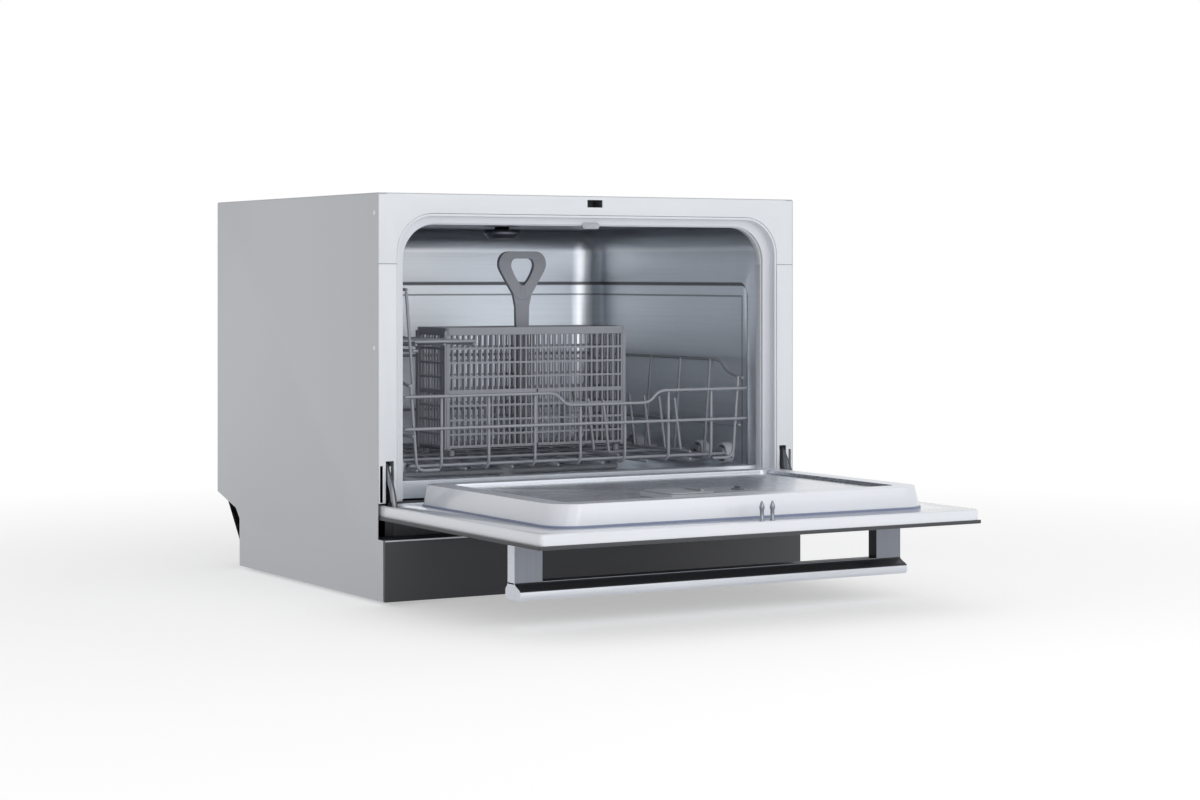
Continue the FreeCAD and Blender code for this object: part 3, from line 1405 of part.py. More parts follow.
doc.recompute()
for item in doc.Objects:
    if "Invalid" in item.State or "Error" in item.State:
        raise RuntimeError("%s did not recompute: %s" % (item.Label, item.State))
for item in subParts:
    if item.Shape.isNull() or not item.Shape.isValid():
        raise RuntimeError("%s has no valid shape" % item.Label)

os.makedirs("parts", exist_ok=True)
for item in subParts:
    item.Shape.exportStep("parts/%s.step" % item.Label)
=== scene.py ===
import bpy
import bmesh
import json
import math
import numpy as np
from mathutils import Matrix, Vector


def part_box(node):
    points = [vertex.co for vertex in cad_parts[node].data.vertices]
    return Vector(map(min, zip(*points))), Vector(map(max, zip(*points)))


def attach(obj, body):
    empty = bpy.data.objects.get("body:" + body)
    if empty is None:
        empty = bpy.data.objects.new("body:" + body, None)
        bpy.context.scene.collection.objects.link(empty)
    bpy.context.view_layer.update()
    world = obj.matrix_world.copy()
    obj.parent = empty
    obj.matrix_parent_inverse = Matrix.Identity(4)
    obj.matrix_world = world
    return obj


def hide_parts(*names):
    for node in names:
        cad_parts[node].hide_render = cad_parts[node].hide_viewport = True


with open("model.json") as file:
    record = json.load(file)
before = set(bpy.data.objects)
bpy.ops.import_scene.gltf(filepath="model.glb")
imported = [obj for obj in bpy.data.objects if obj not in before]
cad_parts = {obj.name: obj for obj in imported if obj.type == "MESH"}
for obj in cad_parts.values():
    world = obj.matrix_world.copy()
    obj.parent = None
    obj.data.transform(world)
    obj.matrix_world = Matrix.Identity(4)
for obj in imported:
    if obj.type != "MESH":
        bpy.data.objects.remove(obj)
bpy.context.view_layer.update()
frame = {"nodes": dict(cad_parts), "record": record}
cad = frame["nodes"]
print("frame loaded:", len(cad), "nodes")

# CAD places are kept in millimetres from the front frame's plane, as in the part's source.
machine = {"frontPlane": -52.5, "hingeBack": -8.0, "hingeHeight": 101.0, "rackInset": 30.0}


tubPanel = {"front": (47.0 + machine["frontPlane"]) / 1000, "top": 0.3485, "slope": 0.0145}


# Shader maths

class Value:
    # A socket; its operators add Math nodes.
    def __init__(self, graph, socket):
        self.graph, self.socket = graph, socket

    def math(self, operation, *values):
        return self.graph.node("ShaderNodeMath", {"operation": operation}, values)

    def __add__(self, other): return self.math("ADD", self, other)
    def __radd__(self, other): return self.math("ADD", other, self)
    def __sub__(self, other): return self.math("SUBTRACT", self, other)
    def __rsub__(self, other): return self.math("SUBTRACT", other, self)
    def __mul__(self, other): return self.math("MULTIPLY", self, other)
    def __rmul__(self, other): return self.math("MULTIPLY", other, self)
    def __truediv__(self, other): return self.math("DIVIDE", self, other)
    def __rtruediv__(self, other): return self.math("DIVIDE", other, self)
    def __pow__(self, other): return self.math("POWER", self, other)


class Graph:
    # One material's node tree.
    def __init__(self, name, tree=None):
        if tree is None:
            self.material = bpy.data.materials.new(name)
            self.material.use_nodes = True
            tree = self.material.node_tree
            self.shader = tree.nodes["Principled BSDF"]
        self.tree = tree

    def node(self, kind, settings=None, inputs=(), output=0):
        made = self.tree.nodes.new(kind)
        for key, value in (settings or {}).items():
            if key == "stops":
                ramp = made.color_ramp
                while len(ramp.elements) < len(value):
                    ramp.elements.new(0.5)
                for element, (place, colour) in zip(ramp.elements, value):
                    element.position = place
                    element.color = (*colour, 1.0)
            else:
                setattr(made, key, value)
        pairs = inputs.items() if isinstance(inputs, dict) else enumerate(inputs)
        for key, value in pairs:
            self.join(made.inputs[key], value)
        return Value(self, made.outputs[output])

    def join(self, socket, value):
        if isinstance(value, Value):
            self.tree.links.new(value.socket, socket)
        else:
            socket.default_value = value

    def place(self, stretch=(1.0, 1.0, 1.0)):
        where = self.node("ShaderNodeTexCoord", output=3)
        return self.node("ShaderNodeMapping", {}, {0: where, 3: stretch})

    def noise(self, scale, stretch=(1.0, 1.0, 1.0), detail=2.0, rough=0.5):
        return self.node("ShaderNodeTexNoise", {}, {"Vector": self.place(stretch), "Scale": scale, "Detail": detail,
                                                    "Roughness": rough})

    def blend(self, amount, first, second):
        return self.node("ShaderNodeMix", {"data_type": "RGBA", "clamp_factor": True},
                         {0: amount, 6: first, 7: second}, output=2)

    def bump(self, height, strength, distance):
        return self.node("ShaderNodeBump", {}, {"Strength": strength, "Distance": distance, "Height": height})

    def finish(self, **sockets):
        for key, value in sockets.items():
            self.join(self.shader.inputs[key.replace("_", " ")], value)
        return self.material


def tone(red, green, blue):
    # A display colour from 0 to 255 as linear light.
    levels = np.array([red, green, blue]) / 255.0
    light = np.where(levels > 0.04045, ((levels + 0.055) / 1.055) ** 2.4, levels / 12.92)
    return (*light.tolist(), 1.0)


def shade(colour, amount):
    return tuple(min(1.0, channel * amount) for channel in colour[:3]) + (1.0,)


def paintedSteel(name, colour, roughness):
    # Powder-painted sheet: faint orange peel and a slow drift of tone.
    g = Graph(name)
    peel = g.noise(900.0, detail=1.0)
    drift = g.noise(6.0)
    return g.finish(Base_Color=g.blend(drift, shade(colour, 0.97), shade(colour, 1.03)),
                    Roughness=drift * 0.06 + peel * 0.04 + (roughness - 0.05),
                    Normal=g.bump(peel, 0.12, 0.0002), Specular_IOR_Level=0.5)


def mouldedPlastic(name, colour, roughness, grain=0.15, coat=0.0, scale=1600.0):
    # Moulded plastic: fine spark texture, and roughness that wanders with handling.
    g = Graph(name)
    fine = g.noise(scale, detail=2.0)
    drift = g.noise(14.0, detail=3.0)
    return g.finish(Base_Color=g.blend(drift * 0.7 + fine * 0.3, shade(colour, 0.94), shade(colour, 1.05)),
                    Roughness=drift * 0.1 + fine * 0.04 + (roughness - 0.07), Normal=g.bump(fine, grain, 0.0001),
                    Coat_Weight=coat, Coat_Roughness=0.08)


def brushedSteel(name, colour, roughness, stretch, depth=0.25, bands=0.25, metal=1.0):
    # Brushed steel: noise drawn out along the brushing gives streaks in tone, gloss and height.
    g = Graph(name)
    streak = g.noise(240.0, stretch, detail=4.0, rough=0.7)
    broad = g.noise(14.0, tuple(0.12 if way < 0.5 else 1.0 for way in stretch), detail=2.0)
    tint = streak * (1.0 - bands) + broad * bands
    return g.finish(Base_Color=g.blend(tint, shade(colour, 0.78), shade(colour, 1.12)), Metallic=metal,
                    Roughness=streak * 0.16 + broad * 0.08 + (roughness - 0.12), Normal=g.bump(streak, depth, 0.00005))


def tubSteelAndShade(name, colour):
    # Brushed tub sheet with painted light. Painted shade: a dark, less metallic line follows the pressed panel of each
    # wall: d is the distance outside a rectangle whose upper front corner is rounded, and two narrow humps of d paint
    # the shade along the panel's edge and along its inner fold.
    g = Graph(name)
    streak = g.noise(240.0, (0.015, 0.015, 1.0), detail=4.0, rough=0.7)
    broad = g.noise(9.0, (0.1, 0.1, 1.6), detail=2.0)
    tint = streak * 0.55 + broad * 0.45
    where = g.node("ShaderNodeSeparateXYZ", {}, [g.node("ShaderNodeTexCoord", output=3)])
    depth, height = (Value(g, where.socket.node.outputs[key]) for key in ("Y", "Z"))
    radius, front, top = 0.016, tubPanel["front"], tubPanel["top"]
    across = g.node("ShaderNodeMath", {"operation": "MAXIMUM"}, (front + radius - depth, 0.0))
    above = g.node("ShaderNodeMath", {"operation": "MAXIMUM"}, (height - (top - radius), 0.0))
    away = (across * across + above * above) ** 0.5 - radius
    # Painted shade: a hump for the panel's edge and a fainter one for its inner fold.
    line = hump(g, away, 0.0, 0.0014)
    foldShade = hump(g, away, -tubPanel["slope"], 0.0007)
    panelShade = g.node("ShaderNodeMath", {"operation": "MAXIMUM"}, (line, foldShade * 0.7))
    steel = g.blend(tint, shade(colour, 0.78), shade(colour, 1.1))
    # Painted shade: above 0.394 m the steel blends to a darker streaked tone, the shade on the tub's roof.
    roofShade = g.node("ShaderNodeMapRange", {"clamp": True, "interpolation_type": "SMOOTHSTEP"}, {0: height, 1: 0.394, 2: 0.42, 3: 0.0, 4: 0.9})
    steel = g.blend(roofShade, steel, g.blend(tint, tone(44, 48, 55), tone(132, 137, 147)))
    # Painted highlight: a narrow light line at 0.3915 m, where the walls turn into the roof.
    steel = g.blend(hump(g, height, 0.3915, 0.0016) * 0.55, steel, tone(248, 250, 253))
    return g.finish(Base_Color=g.blend(panelShade * 0.85, steel, tone(52, 55, 62)), Metallic=0.85 - panelShade * 0.5,
                    Roughness=streak * 0.14 + broad * 0.1 + 0.2, Normal=g.bump(streak, 0.2, 0.00005))


def hump(g, value, middle, half):
    # One at the middle, falling straight to nothing at twice the half width.
    away = g.node("ShaderNodeMath", {"operation": "ABSOLUTE"}, [value - middle])
    return g.node("ShaderNodeMath", {"operation": "SUBTRACT", "use_clamp": True}, (2.0, away * (1.0 / half)))


def coatedWire(name, colour):
    # Nylon-dipped wire: soft gloss, slightly uneven coat.
    g = Graph(name)
    dip = g.noise(260.0, detail=2.0)
    drift = g.noise(18.0)
    return g.finish(Base_Color=g.blend(drift, shade(colour, 0.88), shade(colour, 1.1)), Roughness=dip * 0.12 + 0.3,
                    Normal=g.bump(dip, 0.25, 0.0004), Coat_Weight=0.25, Coat_Roughness=0.15)


def blackGlass(name, colour):
    # Back-painted glass: hard gloss with very faint smudges.
    g = Graph(name)
    smudge = g.noise(9.0, detail=4.0, rough=0.6)
    return g.finish(Base_Color=g.blend(smudge, shade(colour, 0.8), shade(colour, 1.2)), Roughness=smudge * 0.07 + 0.02,
                    Coat_Weight=1.0, Coat_Roughness=0.02, IOR=1.5)


def softRubber(name, colour):
    # Rubber: matt skin with a dusty bloom.
    g = Graph(name)
    bloom = g.noise(60.0, detail=4.0)
    return g.finish(Base_Color=g.blend(bloom, shade(colour, 0.85), shade(colour, 1.25)), Roughness=bloom * 0.2 + 0.55,
                    Normal=g.bump(bloom, 0.2, 0.0002))


def clearPlastic(name, colour, through, roughness):
    # Translucent plastic: part of the light passes, with cloudy flow lines.
    g = Graph(name)
    cloud = g.noise(40.0, detail=3.0)
    return g.finish(Base_Color=g.blend(cloud, shade(colour, 0.9), shade(colour, 1.08)), Roughness=cloud * 0.1 + roughness,
                    Transmission_Weight=through, IOR=1.46)


def circuitBoard(name):
    # Green solder mask with paler tracks.
    g = Graph(name)
    tracks = g.node("ShaderNodeTexBrick", {}, {"Vector": g.place(), "Scale": 90.0, "Mortar Size": 0.03}, output=1)
    return g.finish(Base_Color=g.blend(tracks, tone(18, 62, 34), tone(52, 110, 66)), Roughness=tracks * 0.2 + 0.35)


paints = {
    "case_grey": paintedSteel("casePaint", tone(186, 189, 193), 0.38),
    "back_steel": paintedSteel("backPaint", tone(176, 179, 182), 0.45),
    "dark_plastic": mouldedPlastic("trayGrey", tone(84, 86, 90), 0.5),
    "rubber_black": softRubber("footRubber", tone(30, 30, 31)),
    "black_gloss": mouldedPlastic("plinthBlack", tone(51, 52, 56), 0.42, 0.05, 0.1),
    "trim_grey": mouldedPlastic("frameGrey", tone(221, 225, 230), 0.36, 0.08),
    "seal_grey": mouldedPlastic("sealGrey", tone(216, 219, 225), 0.3, 0.06, 0.2),
    "clear_tab": clearPlastic("tabClear", tone(222, 226, 231), 0.6, 0.2),
    "tub_steel": tubSteelAndShade("tubSteel", tone(235, 240, 249)),
    "pump_grey": mouldedPlastic("pumpGrey", tone(104, 107, 111), 0.5),
    "filter_grey": mouldedPlastic("filterGrey", tone(150, 153, 157), 0.42),
    "arm_grey": mouldedPlastic("armGrey", tone(152, 156, 162), 0.32, 0.06, 0.3),
    "black_glass": blackGlass("doorGlass", tone(26, 27, 30)),
    "door_white": mouldedPlastic("rimWhite", tone(222, 225, 231), 0.2, 0.04, 0.5),
    "door_steel": brushedSteel("plugSteel", tone(214, 217, 222), 0.26, (0.03, 1.0, 1.0), 0.15, 0.3),
    "handle_silver": brushedSteel("handleSilver", tone(216, 220, 227), 0.4, (0.03, 1.0, 1.0), 0.08, 0.15, 0.6),
    "bright_steel": brushedSteel("bracketSteel", tone(176, 178, 182), 0.3, (1.0, 1.0, 0.2), 0.1, 0.2),
    "dispenser_grey": mouldedPlastic("dispenserGrey", tone(160, 164, 170), 0.3, 0.06, 0.2),
    "dispenser_cap": mouldedPlastic("capBlue", tone(92, 100, 112), 0.32, 0.06, 0.2),
    "board_green": circuitBoard("boardGreen"),
    "basket_grey": mouldedPlastic("basketGrey", tone(150, 153, 161), 0.4, 0.1),
    "wire_grey": coatedWire("rackWire", tone(145, 148, 156)),
    "spring_steel": brushedSteel("springSteel", tone(150, 151, 154), 0.28, (1.0, 1.0, 1.0), 0.1, 0.2),
    "arm_white": brushedSteel("armSteel", tone(176, 180, 188), 0.3, (1.0, 1.0, 0.1), 0.1, 0.2, 0.7),
    "wheel_grey": clearPlastic("wheelGrey", tone(200, 204, 212), 0.15, 0.25),
}
paints["plugBorder"] = brushedSteel("plugBorder", tone(226, 230, 237), 0.32, (0.03, 1.0, 1.0), 0.1, 0.2, 0.6)
paints["legSteel"] = brushedSteel("legSteel", tone(132, 136, 144), 0.34, (1.0, 1.0, 0.03), 0.12, 0.3)
paints["plugLine"] = mouldedPlastic("plugLine", tone(126, 136, 162), 0.4)
# Painted shade: a darker steel for the upper spray head, so it sits in the roof's painted shade.
paints["headShadeSteel"] = brushedSteel("headShadeSteel", tone(116, 120, 129), 0.34, (1.0, 1.0, 0.2), 0.1, 0.2, 0.8)
paints["pinSteel"] = brushedSteel("pinSteel", tone(132, 136, 145), 0.25, (1.0, 1.0, 0.2), 0.05, 0.2)
paints["glassEdge"] = mouldedPlastic("glassEdge", tone(58, 60, 64), 0.5)
slotOf = {entry["node"]: entry["material_slot"] for entry in frame["record"]["subparts"]}
for node, holder in cad.items():
    holder.data.materials.clear()
    holder.data.materials.append(paints[slotOf[node]])
print("finishes made:", len(paints))


# Mesh tools

def inPlace(points, body="machine"):
    # Source millimetres to the frame's metres.
    shift = np.array([0.0, machine["frontPlane"], 0.0])
    if body == "door":
        shift = shift + (0.0, machine["hingeBack"], machine["hingeHeight"])
    if body == "rack":
        shift = shift + (0.0, machine["rackInset"], 0.0)
    return (np.asarray(points, float) + shift) / 1000.0


class Shell:
    # Gathers grids of points and their faces into one mesh.
    def __init__(self):
        self.points, self.faces, self.count = [], [], 0

    def add(self, points, faces):
        points = np.asarray(points, float).reshape(-1, 3)
        self.points.append(points)
        self.faces += [tuple(int(index) + self.count for index in face) for face in faces]
        self.count += len(points)
        return self

    def grid(self, points, aroundRows=False, aroundColumns=True, caps=False):
        # Quads between neighbouring points of a (rows, columns) grid; caps close its first and last rows.
        rows, columns = points.shape[:2]
        i = np.arange(rows if aroundRows else rows - 1)[:, None]
        j = np.arange(columns if aroundColumns else columns - 1)[None, :]
        down, along = (i + 1) % rows, (j + 1) % columns
        quads = np.stack([i * columns + j, i * columns + along, down * columns + along, down * columns + j], -1)
        faces = quads.reshape(-1, 4).tolist()
        if caps:
            faces += [list(range(columns))[::-1], [(rows - 1) * columns + k for k in range(columns)]]
        return self.add(points, faces)

    def boxes(self, low, high):
        # A box for each pair of opposite corners.
        low, high = np.atleast_2d(low).astype(float), np.atleast_2d(high).astype(float)
        corner = np.array([(a, b, c) for c in (0, 1) for a, b in ((0, 0), (1, 0), (1, 1), (0, 1))], float)
        points = low[:, None] + (high - low)[:, None] * corner[None]
        sides = np.array([(0, 3, 2, 1), (4, 5, 6, 7), (0, 1, 5, 4), (1, 2, 6, 5), (2, 3, 7, 6), (3, 0, 4, 7)])
        faces = (sides[None] + np.arange(len(low))[:, None, None] * 8).reshape(-1, 4)
        return self.add(points, faces.tolist())

    def make(self, name, body, paint, nodes=(), place="machine", smooth=50.0, bevel=0.0, steps=2):
        mesh = bpy.data.meshes.new(name)
        mesh.from_pydata(inPlace(np.concatenate(self.points), place).tolist(), [], self.faces)
        tidy = bmesh.new()
        tidy.from_mesh(mesh)
        bmesh.ops.recalc_face_normals(tidy, faces=tidy.faces)
        tidy.to_mesh(mesh)
        tidy.free()
        return dress(mesh, name, body, paint, nodes, smooth, bevel, steps)


def dress(mesh, name, body, paint, nodes, smooth, bevel, steps):
    mesh.materials.clear()
    mesh.materials.append(paints[paint])
    mesh.shade_smooth()
    if bevel == 0.0:
        mesh.set_sharp_from_angle(angle=math.radians(smooth))
    piece = bpy.data.objects.new(name, mesh)
    bpy.context.scene.collection.objects.link(piece)
    if bevel:
        edge = piece.modifiers.new("roundedEdges", "BEVEL")
        edge.width, edge.segments, edge.limit_method = bevel / 1000.0, steps, "ANGLE"
        edge.angle_limit, edge.harden_normals = math.radians(smooth), True
    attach(piece, body)
    if nodes:
        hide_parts(*nodes)
    return piece


def paintFaces(piece, paint, where):
    # Gives a second finish to the faces that `where` picks by normal and centre, in metres.
    mesh = piece.data
    mesh.materials.append(paints[paint])
    normal, centre = (np.array([getattr(face, key) for face in mesh.polygons]) for key in ("normal", "center"))
    now = np.array([face.material_index for face in mesh.polygons])
    mesh.polygons.foreach_set("material_index", np.where(where(normal, centre), len(mesh.materials) - 1, now).astype(np.int32))


def welded(node, name, body, bevel=0.0, steps=2, smooth=32.0, paint=None):
    # A copy of a CAD node with its loose triangles joined, so that curves shade smoothly and edges can be rounded.
    mesh = cad[node].data.copy()
    tidy = bmesh.new()
    tidy.from_mesh(mesh)
    bmesh.ops.remove_doubles(tidy, verts=tidy.verts, dist=2e-6)
    if bevel:
        bmesh.ops.dissolve_limit(tidy, angle_limit=math.radians(1.0), verts=tidy.verts, edges=tidy.edges)
    tidy.to_mesh(mesh)
    tidy.free()
    piece = dress(mesh, name, body, paint or slotOf[node], (node,), smooth, bevel, steps)
    if bevel == 0.0:
        even = piece.modifiers.new("evenNormals", "WEIGHTED_NORMAL")
        even.weight, even.keep_sharp = 100, True
    return piece


def rounded(points, radius, steps=6):
    # Each inner corner of a run becomes a curve between the two points that lie `radius` from it, or half a run.
    points = [np.array(point, float) for point in points]
    path = [points[0]]
    for before, corner, after in zip(points, points[1:], points[2:]):
        start = corner + (before - corner) * min(0.5, radius / np.linalg.norm(before - corner))
        end = corner + (after - corner) * min(0.5, radius / np.linalg.norm(after - corner))
        t = np.linspace(0, 1, steps)[:, None]
        path += list((1 - t) ** 2 * start + 2 * t * (1 - t) * corner + t ** 2 * end)
    return np.array(path + [points[-1]])


def tube(shell, path, radius, side, sides=12, ball=True):
    # Round wire: ring points are the path's point plus radius * (cos a * side + sin a * across); ball ends shrink as
    # a quarter circle over the last radius.
    path = np.asarray(path, float)
    size = np.full(len(path), float(radius))
    if ball:
        angle = np.radians([8, 35, 62])[:, None]
        first, last = path[1] - path[0], path[-2] - path[-1]
        head = path[0] + first / np.linalg.norm(first) * radius * (1 - np.cos(angle))
        tail = path[-1] + last / np.linalg.norm(last) * radius * (1 - np.cos(angle))
        start = path[0] + first / np.linalg.norm(first) * radius
        end = path[-1] + last / np.linalg.norm(last) * radius
        path = np.concatenate([head, [start], path[1:-1], [end], tail[::-1]])
        ends = radius * np.sin(angle[:, 0])
        size = np.concatenate([ends, size, ends[::-1]])
    way = np.gradient(path, axis=0)
    way /= np.linalg.norm(way, axis=1)[:, None]
    flat = np.array(side, float)[None] - way * (way @ np.array(side, float))[:, None]
    flat /= np.linalg.norm(flat, axis=1)[:, None]
    across = np.cross(way, flat)
    turn = np.linspace(0, 2 * math.pi, sides, endpoint=False)
    ring = np.cos(turn)[None, :, None] * flat[:, None] + np.sin(turn)[None, :, None] * across[:, None]
    return shell.grid(path[:, None] + ring * size[:, None, None], caps=True)


def turned(shell, profile, centre, axis="z", steps=48):
    # A profile of (radius, height) pairs turned about an axis through the centre.
    profile = np.asarray(profile, float)
    turn = np.linspace(0, 2 * math.pi, steps, endpoint=False)
    flat = profile[:, :1, None] * np.stack([np.cos(turn), np.sin(turn)], -1)[None]
    rise = np.broadcast_to(profile[:, 1:, None], flat.shape[:2] + (1,))
    points = np.concatenate([flat, rise], -1)
    order = {"z": (0, 1, 2), "x": (2, 0, 1), "y": (1, 2, 0)}[axis]
    return shell.grid(points[..., order] + np.array(centre, float), caps=True)


def prism(shell, outline, start, end, axis="x"):
    # A flat outline of (y, z), (x, z) or (x, y) pairs carried straight along x, y or z.
    outline = np.asarray(outline, float)
    place = {"x": 0, "y": 1, "z": 2}[axis]
    rings = [np.insert(outline, place, level, axis=1) for level in (start, end)]
    return shell.grid(np.array(rings), caps=True)


# Rack wires

rack = {"wire": 1.8, "floor": 141.5, "rail": 211.0, "lean": 0.078, "middle": 188.0, "front": 224.0, "dip": 210.0,
        "side": 257.0, "length": 370.0, "corner": 241.0, "bend": 9.0}
rack["layer"] = rack["wire"] * 2 + 0.05


def sideWire(height):
    # How far out the leaning side stands at a height.
    return rack["rail"] + (height - rack["floor"]) * rack["lean"]


def runWires(name, node, paths, side, body="rack", radius=None, paint="wire_grey", bend=None):
    shell = Shell()
    for path in paths:
        run = rounded(path, bend or rack["bend"]) if len(path) > 2 else path
        tube(shell, run, radius or rack["wire"], side)
    return shell.make(name, body, paint, (node,) if node else (), "rack")


level, layer, railHalf = rack["floor"], rack["layer"], rack["rail"]
crossPlaces = (20.0, 112.0, 178.0, 240.0, 300.0, 352.0)
uprightPlaces = [60.0 * number for number in range(-3, 4)]
depth = rack["length"] - layer
foot = level + 2.0
dip = {"low": -22.0, "high": 92.0, "run": 12.0}


def frontTop(x):
    return rack["dip"] if dip["low"] - dip["run"] < x < dip["high"] + dip["run"] else rack["front"]


floorPaths = [[(x, 1.8, level), (x, rack["length"] - 1.8, level)] for x in [30.0 * number for number in range(-6, 7)] if x % 60]
floorPaths += [[(-railHalf - 1.8, y, level + layer), (railHalf + 1.8, y, level + layer)] for y in crossPlaces]
runWires("rackFloorWires", "rack_floor", floorPaths, (0, 0, 1))

# Each upright is one wire with its floor wire: down the front, along the floor and up the back.
archPaths = [[(x, layer, frontTop(x) + 1.8), (x, layer, level), (x, depth, level), (x, depth, rack["side"] + 1.8)]
             for x in uprightPlaces]
runWires("rackArchWires", None, archPaths, (1, 0, 0), bend=11.0)

reach = 228.6
for name, node, y, top, lines in (("rackFrontWires", "rack_front", layer, 239.0, None),
                                  ("rackBackWires", "rack_back", depth, rack["side"], (rack["middle"], rack["side"]))):
    paths = [[(way * sideWire(top), y, top), (way * sideWire(level), y, level), (way * (railHalf - 29), y, level)] for way in (-1, 1)]
    if lines is None:
        paths.append([(-reach, 0, rack["middle"]), (reach, 0, rack["middle"])])
        paths.append([(-reach, 0, rack["front"]), (dip["low"] - dip["run"], 0, rack["front"]), (dip["low"], 0, rack["dip"]),
                      (dip["high"], 0, rack["dip"]), (dip["high"] + dip["run"], 0, rack["front"]), (reach, 0, rack["front"])])
    else:
        paths += [[(-sideWire(z) - 1.75, rack["length"], z), (sideWire(z) + 1.75, rack["length"], z)] for z in lines]
    runWires(name, node, paths, (0, 1, 0), bend=10.0)

wheel = {"radius": 12.5, "width": 12.0, "track": 222.0, "height": 144.5, "places": (37.0, 91.0, 244.0), "axle": 2.5,
         "ribs": 8}


def rackSide(label, way):
    # The leaning side: rail, uprights, middle wire and upper wire, with the wheels' clips and axles.
    shell = Shell()
    tube(shell, [(way * railHalf, 1.8, level), (way * railHalf, rack["length"] - 1.8, level)], 1.8, (1, 0, 0))
    for y in (67.0, 135.0, 204.0, 272.0, 340.0):
        tube(shell, [(way * sideWire(foot), y, foot), (way * sideWire(rack["side"]), y, rack["side"])], 1.8, (0, 1, 0))
    x = way * (sideWire(180.0) + layer)
    tube(shell, [(x, -1.8, 180.0), (x, rack["length"] + 1.8, 180.0)], 1.8, (1, 0, 0))
    outline = [(rack["length"] + 1.8, 257.0), (53.0, 257.0), (32.0, 242.0), (-1.8, 236.0)]
    upper = rounded([(way * (sideWire(z) + layer), y, z) for y, z in outline], 10.0)
    tube(shell, upper, 1.8, (1, 0, 0))
    inner = railHalf + 1.82
    outer = wheel["track"] - wheel["width"] / 2 - 0.3
    clip = rounded([(0, -9), (-9, -9), (-9, 6), (-4, 9), (4, 9), (9, 6), (9, -9), (0, -9)], 3.0, 4)[:-1]
    for y in wheel["places"]:
        outline = clip * (1.0, 0.8) + (y, wheel["height"] - 0.2)
        prism(shell, outline, way * inner, way * outer, "x")
        turned(shell, [(2.4, 0), (2.4, 15.0), (1.9, 15.6)], (way * inner, y, wheel["height"]), "x", 16) if way > 0 else \
            turned(shell, [(1.9, -15.6), (2.4, -15.0), (2.4, 0)], (way * inner, y, wheel["height"]), "x", 16)
    shell.make("rackSideWires." + label, "rack", "wire_grey", ("rack_side_" + label,), "rack")


def rackWheel(label, row, way, place):
    # Turned tyre and hub with a web between them, and ribs that run from hub to tyre on the outer face.
    shell = Shell()
    out = way
    centre = (way * wheel["track"], place, wheel["height"])
    radius, half, bore = wheel["radius"], wheel["width"] / 2, wheel["axle"] + 0.05
    profile = [(bore, -half), (5.2, -half), (5.2, -2.0), (radius - 3.0, -2.0), (radius - 2.4, -half), (radius - 0.6, -half),
               (radius, -half + 0.8), (radius, half - 0.8), (radius - 0.6, half), (radius - 2.4, half),
               (radius - 3.0, 1.0), (5.2, 1.0), (5.2, half), (bore, half)]
    profile = np.array(profile)
    shell.grid(turnedGrid(profile, centre, 40, out), aroundRows=True)
    turn = np.arange(wheel["ribs"]) * 2 * math.pi / wheel["ribs"]
    for angle in turn:
        bar = np.array([(a, b, c) for a in (4.6, radius - 2.2) for b, c in ((-0.6, 0.9), (0.6, 0.9), (0.6, half - 1.2), (-0.6, half - 1.2))])
        across, up = math.cos(angle), math.sin(angle)
        points = np.stack([out * bar[:, 2], bar[:, 0] * across - bar[:, 1] * up, bar[:, 0] * up + bar[:, 1] * across], -1)
        shell.grid((points + centre).reshape(2, 4, 3), caps=True)
    name = "wheel_%s_%s" % (label, row)
    piece = shell.make("rackWheel.%s.%s" % (label, row), name, "wheel_grey", (name,), "rack", smooth=35.0)
    hub = inPlace(centre, "rack")
    # Painted shade: the recessed web between the ribs takes the darker pump grey, for the shade between them.
    paintFaces(piece, "pump_grey", lambda normal, middle: (abs(normal[:, 0]) > 0.9) & (abs(middle[:, 0] - hub[0]) < 0.0025) & (
        np.hypot(middle[:, 1] - hub[1], middle[:, 2] - hub[2]) < 0.0095))


def turnedGrid(profile, centre, steps, way=1):
    # Rings of (radius, depth) pairs about an axis along x.
    turn = np.linspace(0, 2 * math.pi, steps, endpoint=False)
    ring = np.stack([np.zeros(steps), np.cos(turn), np.sin(turn)], -1)
    return profile[:, :1, None] * ring[None] + profile[:, 1:, None] * np.array([way, 0, 0]) + np.array(centre, float)


for label, way in (("left", -1), ("right", 1)):
    rackSide(label, way)
    for row, place in zip(("front", "middle", "rear"), wheel["places"]):
        rackWheel(label, row, way, place)

tines = {"base": level + layer * 2, "rise": 62.0, "lean": 14.0}
tinePaths = []
for x, groups in ((60.0, ((40.0, 75.0), (215.0, 250.0, 285.0, 320.0))), (160.0, (tuple(40.0 + 35.0 * n for n in range(9)),))):
    for places in groups:
        tinePaths.append([(x, places[0] - 22, tines["base"]), (x, places[-1] + 22, tines["base"])])
        tinePaths += [[(x, y, tines["base"] + 1.0), (x, y + tines["lean"], tines["base"] + tines["rise"] + 1.8)] for y in places]
runWires("plateTineWires", "plate_tines", tinePaths, (1, 0, 0))

fence = {"places": (6.0, 47.0, 117.0, 160.0, 214.0, 254.0), "top": 341.5, "low": 224.0, "hinge": (1.0 - railHalf, 275.0)}
hingeX, hingeZ = fence["hinge"]
fencePaths = [[(layer - sideWire(z), y, z) for z in (fence["low"], fence["top"])] for y in fence["places"]]
topX = layer - sideWire(fence["top"])
fencePaths.append([(topX, y, fence["top"] + layer / 2) for y in (fence["places"][0] - 2, fence["places"][-1] + 2)])
fencePaths.append([(hingeX, y, hingeZ) for y in (fence["places"][0] - 2, fence["places"][-1] + 30)])
fencePaths += [[(layer - sideWire(hingeZ) + 1.85, y, hingeZ), (hingeX, y, hingeZ)] for y in (fence["places"][0], fence["places"][-1])]
runWires("cupFenceWires", "shelf_fence", fencePaths, (0, 0.3, 1))

